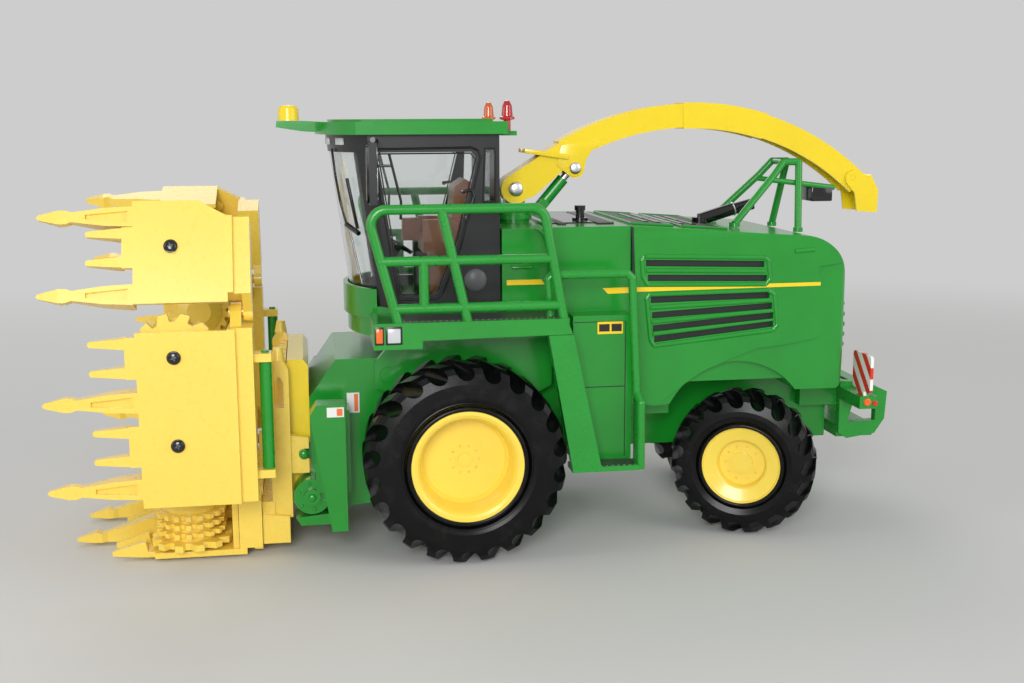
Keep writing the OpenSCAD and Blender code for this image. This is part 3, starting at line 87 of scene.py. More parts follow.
class Wire:
    """A value in a material's graph, with the usual arithmetic."""

    def __init__(self, graph: "Graph", socket: bpy.types.NodeSocket) -> None:
        """Keeps the graph and the socket.

        Args:
            graph: Graph the value belongs to.
            socket: Output socket that gives it.
        """
        self.graph = graph
        self.socket = socket

    def _maths(self, operation: str, second: object = None) -> "Wire":
        """One Math node, with this value first.

        Args:
            operation: Name of the operation.
            second: Second value, where it has one.
        Returns:
            The result.
        """
        node = self.graph.node("ShaderNodeMath", {"operation": operation})
        self.graph.feed(node.inputs[0], self)
        if second is not None:
            self.graph.feed(node.inputs[1], second)
        return Wire(self.graph, node.outputs[0])

    def __add__(self, other: object) -> "Wire":
        """Sum."""
        return self._maths("ADD", other)

    __radd__ = __add__

    def __sub__(self, other: object) -> "Wire":
        """Difference."""
        return self._maths("SUBTRACT", other)

    def __mul__(self, other: object) -> "Wire":
        """Product."""
        return self._maths("MULTIPLY", other)

    def __truediv__(self, other: object) -> "Wire":
        """Quotient."""
        return self._maths("DIVIDE", other)

    def __gt__(self, other: object) -> "Wire":
        """1 where this is greater, else 0."""
        return self._maths("GREATER_THAN", other)

    def __lt__(self, other: object) -> "Wire":
        """1 where this is less, else 0."""
        return self._maths("LESS_THAN", other)

    def fraction(self) -> "Wire":
        """Fractional part."""
        return self._maths("FRACT")

    def size(self) -> "Wire":
        """Absolute value."""
        return self._maths("ABSOLUTE")

    def cell(self, pitch: float) -> "Wire":
        """Place in a repeating cell.

        Args:
            pitch: Length of the cell.
        Returns:
            The place, from -0.5 to 0.5.
        """
        return (self / pitch).fraction() - 0.5

    def ramp(self, low: float, high: float) -> "Wire":
        """Smooth step from 0 at low to 1 at high.

        Args:
            low: Value that gives 0.
            high: Value that gives 1.
        Returns:
            The stepped value.
        """
        node = self.graph.node("ShaderNodeMapRange", {"interpolation_type": "SMOOTHSTEP"},
                               {"Value": self, "From Min": low, "From Max": high})
        return Wire(self.graph, node.outputs[0])


class Graph:
    """A material's node graph around one Principled shader."""

    def __init__(self, name: str) -> None:
        """Makes the material.

        Args:
            name: Name of the finish.
        """
        self.material = bpy.data.materials.new(name)
        self.material.use_nodes = True
        self.tree = self.material.node_tree
        self.shader = self.tree.nodes["Principled BSDF"]
        self.place = self.tree.nodes.new("ShaderNodeTexCoord").outputs["Object"]

    def feed(self, socket: bpy.types.NodeSocket, value: object) -> None:
        """Sets or links one input.

        Args:
            socket: Input socket.
            value: A wire, a socket, a number or a list of numbers.
        """
        if isinstance(value, Wire):
            self.tree.links.new(value.socket, socket)
        elif isinstance(value, bpy.types.NodeSocket):
            self.tree.links.new(value, socket)
        else:
            socket.default_value = value

    def node(self, kind: str, settings: dict | None = None, values: dict | None = None) -> bpy.types.Node:
        """Adds one node.

        Args:
            kind: Type of the node.
            settings: Its properties.
            values: Its inputs by name, as numbers or wires.
        Returns:
            The node.
        """
        made = self.tree.nodes.new(kind)
        for key, value in (settings or {}).items():
            setattr(made, key, value)
        for key, value in (values or {}).items():
            self.feed(made.inputs[key], value)
        return made

    def along(self) -> tuple[Wire, Wire, Wire]:
        """Object coordinates as three values, in metres."""
        node = self.node("ShaderNodeSeparateXYZ", None, {"Vector": self.place})
        return tuple(Wire(self, out) for out in node.outputs)

    def noise(self, scale: float, detail: float = 2.0) -> Wire:
        """Noise on object coordinates.

        Args:
            scale: Repeats in a metre.
            detail: Octaves.
        Returns:
            The noise, from 0 to 1.
        """
        node = self.node("ShaderNodeTexNoise", None, {"Vector": self.place, "Scale": scale, "Detail": detail})
        return Wire(self, node.outputs[0])

    def uneven(self, scale: float, low: float, spread: float) -> Wire:
        """Roughness that varies finely.

        Args:
            scale: Repeats in a metre.
            low: Least roughness.
            spread: Most that the noise adds.
        Returns:
            The roughness.
        """
        return self.noise(scale) * spread + low

    def blend(self, factor: Wire, first: tuple, second: tuple) -> Wire:
        """Mixes two colours.

        Args:
            factor: 0 gives the first and 1 the second.
            first: Colour of three numbers.
            second: Colour of three numbers.
        Returns:
            The mixed colour.
        """
        node = self.node("ShaderNodeMix", {"data_type": "RGBA"})
        self.feed(node.inputs["Factor"], factor)
        self.feed(node.inputs[6], (*first, 1.0))
        self.feed(node.inputs[7], (*second, 1.0))
        return Wire(self, node.outputs[2])

    def bump(self, height: Wire, distance: float, strength: float) -> None:
        """Bumps the surface.

        Args:
            height: Height of the surface, from 0 to 1.
            distance: Its depth in metres.
            strength: Strength of the bump.
        """
        values = {"Height": height, "Distance": distance, "Strength": strength}
        node = self.node("ShaderNodeBump", None, values)
        self.feed(self.shader.inputs["Normal"], node.outputs[0])

    def set(self, **values: object) -> None:
        """Sets inputs of the shader.

        Args:
            values: Values by the input's name, with _ for a space.
        """
        for key, value in values.items():
            self.feed(self.shader.inputs[key.replace("_", " ")], value)


@dataclass(frozen=True)
class Enamel:
    """Glossy paint or plastic with a faint orange peel."""

    name: str
    colour: tuple[float, float, float]
    shade: tuple[float, float, float]
    roughness: float = 0.3
    coat: float = 0.3
    peel: float = 0.02
    mottle: float = 60.0
    translucency: float = 0.0
    coat_roughness: float = 0.12
    ior: float = 1.5
    cloud_detail: float = 3.0
    cloud_range: tuple[float, float] = (0.35, 0.75)
    grain: float = 400.0
    spread: float = 0.08
    peel_scale: float = 900.0
    peel_depth: float = 0.0001
    glow_radius: tuple[float, float, float] = (1.0, 0.7, 0.3)
    glow_depth: float = 0.002

    def build(self) -> bpy.types.Material:
        """Makes the material.

        Returns:
            The material.
        """
        graph = Graph(self.name)
        clouds = graph.noise(self.mottle, self.cloud_detail)
        graph.set(Base_Color=graph.blend(clouds.ramp(*self.cloud_range), self.colour, self.shade),
                  Roughness=graph.uneven(self.grain, self.roughness - self.spread / 2, self.spread),
                  Coat_Weight=self.coat, Coat_Roughness=self.coat_roughness, IOR=self.ior)
        if self.translucency:
            graph.set(Subsurface_Weight=self.translucency, Subsurface_Radius=self.glow_radius,
                      Subsurface_Scale=self.glow_depth)
        graph.bump(graph.noise(self.peel_scale, 1.0), self.peel_depth, self.peel)
        return graph.material


@dataclass(frozen=True)
class Rubber:
    """Shiny black tyre with fine moulding marks."""

    name: str = "Tyre rubber"
    colour: tuple[float, float, float] = (0.003, 0.003, 0.0035)
    scuffed: tuple[float, float, float] = (0.008, 0.008, 0.008)
    roughness: float = 0.2
    spread: float = 0.1
    ior: float = 1.3
    cloud_scale: float = 250.0
    cloud_detail: float = 4.0
    cloud_range: tuple[float, float] = (0.45, 0.75)
    mark_scale: float = 1800.0
    mark_depth: float = 0.0001
    mark_strength: float = 0.04

    def build(self) -> bpy.types.Material:
        """Makes the material.

        Returns:
            The material.
        """
        graph = Graph(self.name)
        clouds = graph.noise(self.cloud_scale, self.cloud_detail)
        graph.set(Base_Color=graph.blend(clouds.ramp(*self.cloud_range), self.colour, self.scuffed),
                  Roughness=clouds * self.spread + self.roughness, Coat_Weight=0.0, IOR=self.ior)
        graph.bump(graph.noise(self.mark_scale), self.mark_depth, self.mark_strength)
        return graph.material


@dataclass(frozen=True)
class Steel:
    """Bright turned steel."""

    name: str = "Bright steel"
    colour: tuple[float, float, float] = (0.72, 0.72, 0.74)
    roughness: float = 0.34
    grain: float = 700.0
    spread: float = 0.12

    def build(self) -> bpy.types.Material:
        """Makes the material.

        Returns:
            The material.
        """
        graph = Graph(self.name)
        graph.set(Base_Color=(*self.colour, 1.0), Metallic=1.0,
                  Roughness=graph.uneven(self.grain, self.roughness - self.spread / 2, self.spread))
        return graph.material


@dataclass(frozen=True)
class Clear:
    """Clear moulded window."""

    name: str = "Window"
    colour: tuple[float, float, float] = (0.93, 0.96, 0.95)
    roughness: float = 0.03
    ior: float = 1.45

    def build(self) -> bpy.types.Material:
        """Makes the material.

        Returns:
            The material.
        """
        graph = Graph(self.name)
        graph.set(Base_Color=(*self.colour, 1.0), Roughness=self.roughness, Transmission_Weight=1.0,
                  IOR=self.ior)
        return graph.material


@dataclass(frozen=True)
class Mesh:
    """Black screen of fine crossed wires, with painted shade in the gaps between them."""

    name: str = "Grille mesh"
    pitch: float = 0.0011
    # The gaps are painted darker than the wires, as painted shade in the openings
    gap: tuple[float, float, float] = (0.006, 0.007, 0.006)
    wire: tuple[float, float, float] = (0.022, 0.024, 0.022)
    half_gap: float = 0.3
    roughness: float = 0.35
    grain: float = 300.0
    spread: float = 0.1
    wire_depth: float = 0.0001
    wire_strength: float = 0.5

    def build(self) -> bpy.types.Material:
        """Makes the material.

        Returns:
            The material.
        """
        graph = Graph(self.name)
        along, across, _ = graph.along()
        wires = sum(way.cell(self.pitch).size() > self.half_gap for way in (along, across))
        # Painted shade: the gaps between the wires take the darker colour
        graph.set(Base_Color=graph.blend(wires.ramp(0.0, 1.0), self.gap, self.wire),
                  Roughness=graph.uneven(self.grain, self.roughness, self.spread))
        graph.bump(wires, self.wire_depth, self.wire_strength)
        return graph.material


@dataclass(frozen=True)
class Tread:
    """Grip strip with small raised studs."""

    name: str = "Grip strip"
    pitch: float = 0.0018
    ground: tuple[float, float, float] = (0.012, 0.013, 0.012)
    # The raised studs are painted lighter than the ground between them
    stud_tone: tuple[float, float, float] = (0.20, 0.21, 0.20)
    # Square of the studs' radius, in pitches
    stud: float = 0.06
    roughness: float = 0.3
    grain: float = 500.0
    spread: float = 0.1
    stud_depth: float = 0.0002
    stud_strength: float = 0.6

    def build(self) -> bpy.types.Material:
        """Makes the material.

        Returns:
            The material.
        """
        graph = Graph(self.name)
        along, across, _ = graph.along()
        one, other = (along + across).cell(self.pitch), (along - across).cell(self.pitch)
        stud = (one * one + other * other) < self.stud
        graph.set(Base_Color=graph.blend(stud, self.ground, self.stud_tone),
                  Roughness=graph.uneven(self.grain, self.roughness, self.spread))
        graph.bump(stud, self.stud_depth, self.stud_strength)
        return graph.material


@dataclass(frozen=True)
class Lens:
    """Two beacon lenses in one moulding, orange on the right and red on the left."""

    name: str = "Beacon lens"
    orange: tuple[float, float, float] = (0.85, 0.16, 0.02)
    red: tuple[float, float, float] = (0.62, 0.012, 0.012)
    roughness: float = 0.06
    grain: float = 300.0
    spread: float = 0.06
    transmission: float = 0.5
    ior: float = 1.45
    coat: float = 0.8
    coat_roughness: float = 0.04

    def build(self) -> bpy.types.Material:
        """Makes the material.

        Returns:
            The material.
        """
        graph = Graph(self.name)
        _, across, _ = graph.along()
        graph.set(Base_Color=graph.blend(across > 0.0, self.orange, self.red),
                  Roughness=graph.uneven(self.grain, self.roughness, self.spread),
                  Transmission_Weight=self.transmission, IOR=self.ior, Coat_Weight=self.coat,
                  Coat_Roughness=self.coat_roughness)
        return graph.material


@dataclass(frozen=True)
class BoardPaint:
    """White board with slanted red stripes."""

    name: str = "Board stripes"
    pitch: float = 0.0075
    share: float = 0.5
    red: tuple[float, float, float] = (0.72, 0.03, 0.02)
    white: tuple[float, float, float] = (0.86, 0.85, 0.82)
    roughness: float = 0.3
    grain: float = 500.0
    spread: float = 0.1

    def build(self) -> bpy.types.Material:
        """Makes the material.

        Returns:
            The material.
        """
        graph = Graph(self.name)
        _, across, up = graph.along()
        stripe = ((across.size() + up) / self.pitch).fraction()
        graph.set(Base_Color=graph.blend(stripe > self.share, self.red, self.white),
                  Roughness=graph.uneven(self.grain, self.roughness, self.spread))
        return graph.material


class Finishes:
    """Every finish of the toy, made once."""

    def __init__(self) -> None:
        """Builds the materials."""
        # Enamels: colour, shade of its clouds, roughness, coat, peel, scale of the clouds, translucency
        recipes = (
            Enamel("Green enamel", (0.008, 0.262, 0.020), (0.007, 0.235, 0.018), 0.24, 0.3),
            Enamel("Green plastic", (0.010, 0.270, 0.024), (0.009, 0.245, 0.021), 0.28, 0.2, 0.015),
            Enamel("Yellow enamel", (0.86, 0.64, 0.010), (0.83, 0.61, 0.009), 0.26, 0.25, 0.015),
            Enamel("Yellow plastic", (0.92, 0.69, 0.085), (0.91, 0.67, 0.080), 0.26, 0.25, 0.01, 20.0, 0.05),
            Enamel("Pale yellow plastic", (0.90, 0.65, 0.095), (0.88, 0.62, 0.085), 0.28, 0.25, 0.01, 20.0,
                   0.1),
            Enamel("Black plastic", (0.006, 0.0065, 0.008), (0.009, 0.0095, 0.011), 0.34, 0.1, 0.03),
            Enamel("Glossy black", (0.003, 0.003, 0.0035), (0.004, 0.004, 0.0045), 0.16, 0.3, 0.0),
            Enamel("Grey trim", (0.10, 0.10, 0.11), (0.13, 0.13, 0.14), 0.4, 0.1),
            # Matte black for strips of painted shade in the hood's slots, gap and seams, and for the plate's
            # two black fields
            Enamel("Painted shade and plate-field black", (0.006, 0.008, 0.007), (0.010, 0.012, 0.011), 0.6, 0.0),
            Enamel("Brown plastic", (0.34, 0.125, 0.055), (0.29, 0.10, 0.045), 0.36, 0.2, 0.03),
            Enamel("Stripe yellow", (0.93, 0.62, 0.012), (0.93, 0.62, 0.012), 0.3, 0.2, 0.0),
            Enamel("Plate white", (0.80, 0.80, 0.78), (0.76, 0.76, 0.74), 0.35, 0.2, 0.0),
            Enamel("Plate orange", (0.80, 0.17, 0.03), (0.78, 0.16, 0.03), 0.35, 0.2, 0.0),
            Enamel("Reflector grey", (0.55, 0.56, 0.58), (0.48, 0.49, 0.51), 0.2, 0.4),
            Enamel("Lamp orange", (0.85, 0.15, 0.01), (0.80, 0.12, 0.01), 0.2, 0.6, 0.0, 60.0, 0.2),
            Enamel("Lamp red", (0.62, 0.02, 0.01), (0.55, 0.015, 0.01), 0.2, 0.6, 0.0, 60.0, 0.2),
            Rubber(), Steel(), Steel("Mirror face", (0.75, 0.76, 0.78), 0.12), Mesh(), Tread(), BoardPaint(),
            Clear(), Lens(),
        )
        self.made = {recipe.name: recipe.build() for recipe in recipes}

    def __getitem__(self, name: str) -> bpy.types.Material:
        """The finish of that name."""
        return self.made[name]

    def paint(self, node: bpy.types.Object, name: str) -> None:
        """Gives a solid one finish.

        Args:
            node: Object of the solid.
            name: Name of the finish.
        """
        node.data.materials.clear()
        node.data.materials.append(self[name])


NODE_FINISHES = {
    "Green enamel": ("chassis", "front_axle", "rear_axle", "engine_hood", "mid_body", "platform_left",
                     "platform_right", "cab_base", "cab_roof", "feeder_house"),
    "Green plastic": ("railing_left", "railing_right", "ladder", "spout_turret", "spout_barrel", "spout_rest",
                      "rear_hitch", "fold_ram_left", "fold_ram_right"),
    "Yellow enamel": ("feeder_face", "spout_boom", "spout_flap", "receiver_cap"),
    "Yellow plastic": ("rim_front_left", "rim_front_right", "rim_rear_left", "rim_rear_right"),
    "Pale yellow plastic": ("header_frame", "bed_centre", "wing_left", "wing_right", "outer_left",
                            "outer_right", "drum_centre", "drum_centre_left", "drum_centre_right",
                            "drum_wing_left_in", "drum_wing_left_out", "drum_wing_right_in",
                            "drum_wing_right_out", "drum_outer_left", "drum_outer_right"),
    "Tyre rubber": ("tyre_front_left", "tyre_front_right", "tyre_rear_left", "tyre_rear_right"),
    "Black plastic": ("knuckle_left", "knuckle_right", "tie_rod", "cab_frame", "console", "mirrors"),
    "Glossy black": ("deck_insert",),
    "Window": ("cab_glass",),
    "Beacon lens": ("beacons",),
    "Brown plastic": ("seat",),
    "Board stripes": ("warning_boards",),
    "Bright steel": ("spout_rod",),
}


class Shape:
    """A mesh under construction, in millimetres from the front axle."""

    def __init__(self, mirrored: bool = False) -> None:
        """Starts an empty mesh.

        Args:
            mirrored: True for the right-hand copy of a left-hand piece.
        """
        self.bm = bmesh.new()
        self.mirrored = mirrored

    def _join(self, part: bmesh.types.BMesh) -> None:
        """Adds a finished part to the mesh.

        Args:
            part: Mesh of the part, which is freed.
        """
        bmesh.ops.recalc_face_normals(part, faces=part.faces[:])
        mesh = bpy.data.meshes.new("part")
        part.to_mesh(mesh)
        part.free()
        self.bm.from_mesh(mesh)
        bpy.data.meshes.remove(mesh)

    def _place(self, part: bmesh.types.BMesh, base: tuple, axis: Axis | Matrix) -> None:
        """Turns a part to its axis, moves it to its base and adds it.

        Args:
            part: Mesh of the part, drawn along +Z.
            base: Where its origin goes.
            axis: Way in which it points.
        """
        turn = axis if isinstance(axis, Matrix) else turn_to(axis)
        bmesh.ops.transform(part, matrix=Matrix.Translation(base) @ turn, verts=part.verts[:])
        self._join(part)

    @staticmethod
    def _soften(part: bmesh.types.BMesh, bevel: float) -> None:
        """Bevels a part's sharp edges.

        Args:
            part: Mesh of the part.
            bevel: Width in millimetres, 0 for none.
        """
        if bevel > 0:
            edges = [e for e in part.edges if e.is_manifold and e.calc_face_angle(0) > SHARP]
            bmesh.ops.bevel(part, geom=edges, offset=bevel, segments=2, affect="EDGES", profile=0.5,
                            material=-1)

    def box(self, low: tuple, high: tuple, bevel: float = 0.0, turn: Matrix | None = None) -> "Shape":
        """Adds a box.

        Args:
            low: Lowest corner.
            high: Highest corner.
            bevel: Width of its bevels.
            turn: Rotation about its middle.
        Returns:
            This shape.
        """
        part = bmesh.new()
        bmesh.ops.create_cube(part, size=1.0)
        bmesh.ops.scale(part, vec=Vector(high) - Vector(low), verts=part.verts[:])
        self._soften(part, bevel)
        if turn is not None:
            bmesh.ops.transform(part, matrix=turn, verts=part.verts[:])
        bmesh.ops.translate(part, vec=(Vector(high) + Vector(low)) / 2, verts=part.verts[:])
        self._join(part)
        return self

    def boxes(self, rows: tuple, bevel: float = 0.0) -> "Shape":
        """Adds several boxes.

        Args:
            rows: Lowest and highest corner of each.
            bevel: Width of their bevels.
        Returns:
            This shape.
        """
        for low, high in rows:
            self.box(low, high, bevel)
        return self

    def drum(self, base: tuple, axis: Axis | Matrix, r0: float, r1: float, height: float, segments: int = 32,
             bevel: float = 0.0) -> "Shape":
        """Adds a cylinder or a cone.

        Args:
            base: Middle of its base.
            axis: Way in which it points.
            r0: Radius at the base.
            r1: Radius at the far end.
            height: Its length.
            segments: Sides of the circle.
            bevel: Width of its bevels.
        Returns:
            This shape.
        """
        part = bmesh.new()
        bmesh.ops.create_cone(part, cap_ends=True, segments=segments, radius1=r0, radius2=r1, depth=height)
        self._soften(part, bevel)
        bmesh.ops.translate(part, vec=(0, 0, height / 2), verts=part.verts[:])
        self._place(part, base, axis)
        return self

    def dome(self, base: tuple, axis: Axis | Matrix, radius: float, height: float,
             segments: int = 24) -> "Shape":
        """Adds a flattened half ball, such as a rivet's head.

        Args:
            base: Middle of its foot.
            axis: Way in which it points.
            radius: Radius of the foot.
            height: Height over the foot.
            segments: Sides of the circle.
        Returns:
            This shape.
        """
        part = bmesh.new()
        bmesh.ops.create_uvsphere(part, u_segments=segments, v_segments=12, radius=1.0)
        bmesh.ops.bisect_plane(part, geom=part.verts[:] + part.edges[:] + part.faces[:], plane_co=(0, 0, 0),
                               plane_no=(0, 0, 1), clear_inner=True)
        bmesh.ops.holes_fill(part, edges=[e for e in part.edges if e.is_boundary])
        bmesh.ops.scale(part, vec=(radius, radius, height), verts=part.verts[:])
        self._place(part, base, axis)
        return self

    def prism(self, outline: tuple, y0: float, y1: float, bevel: float = 0.0) -> "Shape":
        """Adds a plate whose outline lies in X and Z.

        Args:
            outline: Corners as (x, z).
            y0: One face's place along Y.
            y1: The other face's place.
            bevel: Width of its bevels.
        Returns:
            This shape.
        """
        part = bmesh.new()
        face = part.faces.new([part.verts.new((x, y0, z)) for x, z in outline])
        grown = bmesh.ops.extrude_face_region(part, geom=[face])
        moved = [v for v in grown["geom"] if isinstance(v, bmesh.types.BMVert)]
        bmesh.ops.translate(part, vec=(0, y1 - y0, 0), verts=moved)
        bmesh.ops.recalc_face_normals(part, faces=part.faces[:])
        self._soften(part, bevel)
        self._join(part)
        return self

    def sweep(self, path: list[tuple], radius: float, segments: int = 12) -> "Shape":
        """Adds a bent wire as straight lengths with round elbows.

        Args:
            path: Points of its middle line.
            radius: Radius of the wire.
            segments: Sides of the circle.
        Returns:
            This shape.
        """
        points = [Vector(p) for p in path]
        for a, b in zip(points, points[1:]):
            self.drum(tuple(a), along_way(b - a), radius, radius, (b - a).length, segments)
        for p in points[1:-1]:
            part = bmesh.new()
            bmesh.ops.create_icosphere(part, subdivisions=2, radius=radius)
            bmesh.ops.translate(part, vec=p, verts=part.verts[:])
            self._join(part)
        return self

    def ring(self, middle: tuple, axis: Axis | Matrix, radius: float, wire: float, segments: int = 48,
             sides: int = 10) -> "Shape":
        """Adds a ring of round wire.

        Args:
            middle: Middle of the ring.
            axis: Axis of the ring.
            radius: Radius of its middle line.
            wire: Radius of the wire.
            segments: Steps round the ring.
            sides: Sides of the wire.
        Returns:
            This shape.
        """
        part = bmesh.new()
        bmesh.ops.create_circle(part, segments=sides, radius=wire)
        upright = Matrix.Rotation(math.radians(90), 3, "X")
        bmesh.ops.rotate(part, cent=(0, 0, 0), matrix=upright, verts=part.verts[:])
        bmesh.ops.translate(part, vec=(radius, 0, 0), verts=part.verts[:])
        bmesh.ops.spin(part, geom=part.verts[:] + part.edges[:], cent=(0, 0, 0), axis=(0, 0, 1),
                       dvec=(0, 0, 0), angle=math.tau, steps=segments, use_merge=True)
        self._place(part, middle, axis)
        return self

    def done(self, name: str, material: bpy.types.Material, body: str, smooth: bool = True,
             placing: Matrix | None = None) -> None:
        """Makes the object and lets it ride on its body.

        Args:
            name: Name of the piece.
            material: Its finish.
            body: Body that it moves with.
            smooth: True for smooth shading with sharp edges kept.
            placing: Transform in millimetres from the front axle, applied to the mesh.
        """
        if placing is not None:
            bmesh.ops.transform(self.bm, matrix=placing, verts=self.bm.verts[:])
        if self.mirrored:
            bmesh.ops.scale(self.bm, vec=(1, -1, 1), verts=self.bm.verts[:])
            bmesh.ops.reverse_faces(self.bm, faces=self.bm.faces[:])
        bmesh.ops.translate(self.bm, vec=(FRONT_AXLE_X, 0, 0), verts=self.bm.verts[:])
        bmesh.ops.scale(self.bm, vec=(MM, MM, MM), verts=self.bm.verts[:])
        mesh = bpy.data.meshes.new(name)
        self.bm.to_mesh(mesh)
        self.bm.free()
        mesh.materials.append(material)
        piece = bpy.data.objects.new(name, mesh)
        bpy.context.scene.collection.objects.link(piece)
        if smooth:
            for polygon in mesh.polygons:
                polygon.use_smooth = True
            mesh.set_sharp_from_angle(angle=SHARP)
        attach(piece, body)
        LOG.info("%s: %d faces", name, len(mesh.polygons))


@dataclass
class Trims:
    """Trims of one sub-assembly, made for both sides and then once for the middle."""

    finishes: Finishes
    body: str = "chassis"

    def fit(self, shape: Shape, name: str, finish: str, body: str = "", smooth: bool = True,
            placing: Matrix | None = None) -> None:
        """Finishes a shape and lets it ride on its body, in the slot of its finish.

        Args:
            shape: The shape, which is used up.
            name: Name of the piece.
            finish: Name of its finish.
            body: Body that it moves with, where it isn't the sub-assembly's own.
            smooth: True for smooth shading with sharp edges kept.
            placing: Transform in millimetres from the front axle.
        """
        shape.done(name, self.finishes[finish], body or self.body, smooth, placing)

    def side(self, name: str, flip: bool) -> None:
        """Makes the trims of one side.

        Args:
            name: "left" or "right".
            flip: True for the right.
        """

    def middle(self) -> None:
        """Makes the trims that are there once."""

    def build(self) -> None:
        """Makes every trim."""
        for name, side in SIDES.items():
            self.side(name, side < 0)
        self.middle()


@dataclass
class Wheels(Trims):
    """Bead rings of the four tyres."""

    # Rings of a front tyre: distance from the middle, radius, wire, sides of the wire
    front_rings: tuple = ((52.9, 17.75, 0.85, 16), (53.3, 19.6, 0.35, 10))
    front_steps: int = 128
    front_z: float = 30.8
    rear_x: float = -97.0
    rear_z: float = 23.3
    king_y: float = 24.0
    steer: float = 24.7
    # Ring of a rear tyre: distance from the kingpin, radius, wire, sides of the wire
    rear_ring: tuple = (17.3, 13.1, 0.7, 16)
    rear_steps: int = 96

    def side(self, name: str, flip: bool) -> None:
        """Makes the rings of one side's tyres.

        Args:
            name: "left" or "right".
            flip: True for the right.
        """
        front = Shape(flip)
        for y, radius, wire, sides in self.front_rings:
            front.ring((0, y, self.front_z), Axis.Y, radius, wire, self.front_steps, sides)
        self.fit(front, "sidewall_front_" + name, "Tyre rubber", "wheel_front_" + name)
        y, radius, wire, sides = self.rear_ring
        rear = Shape(flip).ring((0, y, self.rear_z), Axis.Y, radius, wire, self.rear_steps, sides)
        turn = Matrix.Rotation(math.radians(self.steer if flip else -self.steer), 4, "Z")
        self.fit(rear, "sidewall_rear_" + name, "Tyre rubber", "wheel_rear_" + name,
                 placing=Matrix.Translation((self.rear_x, self.king_y, 0)) @ turn)


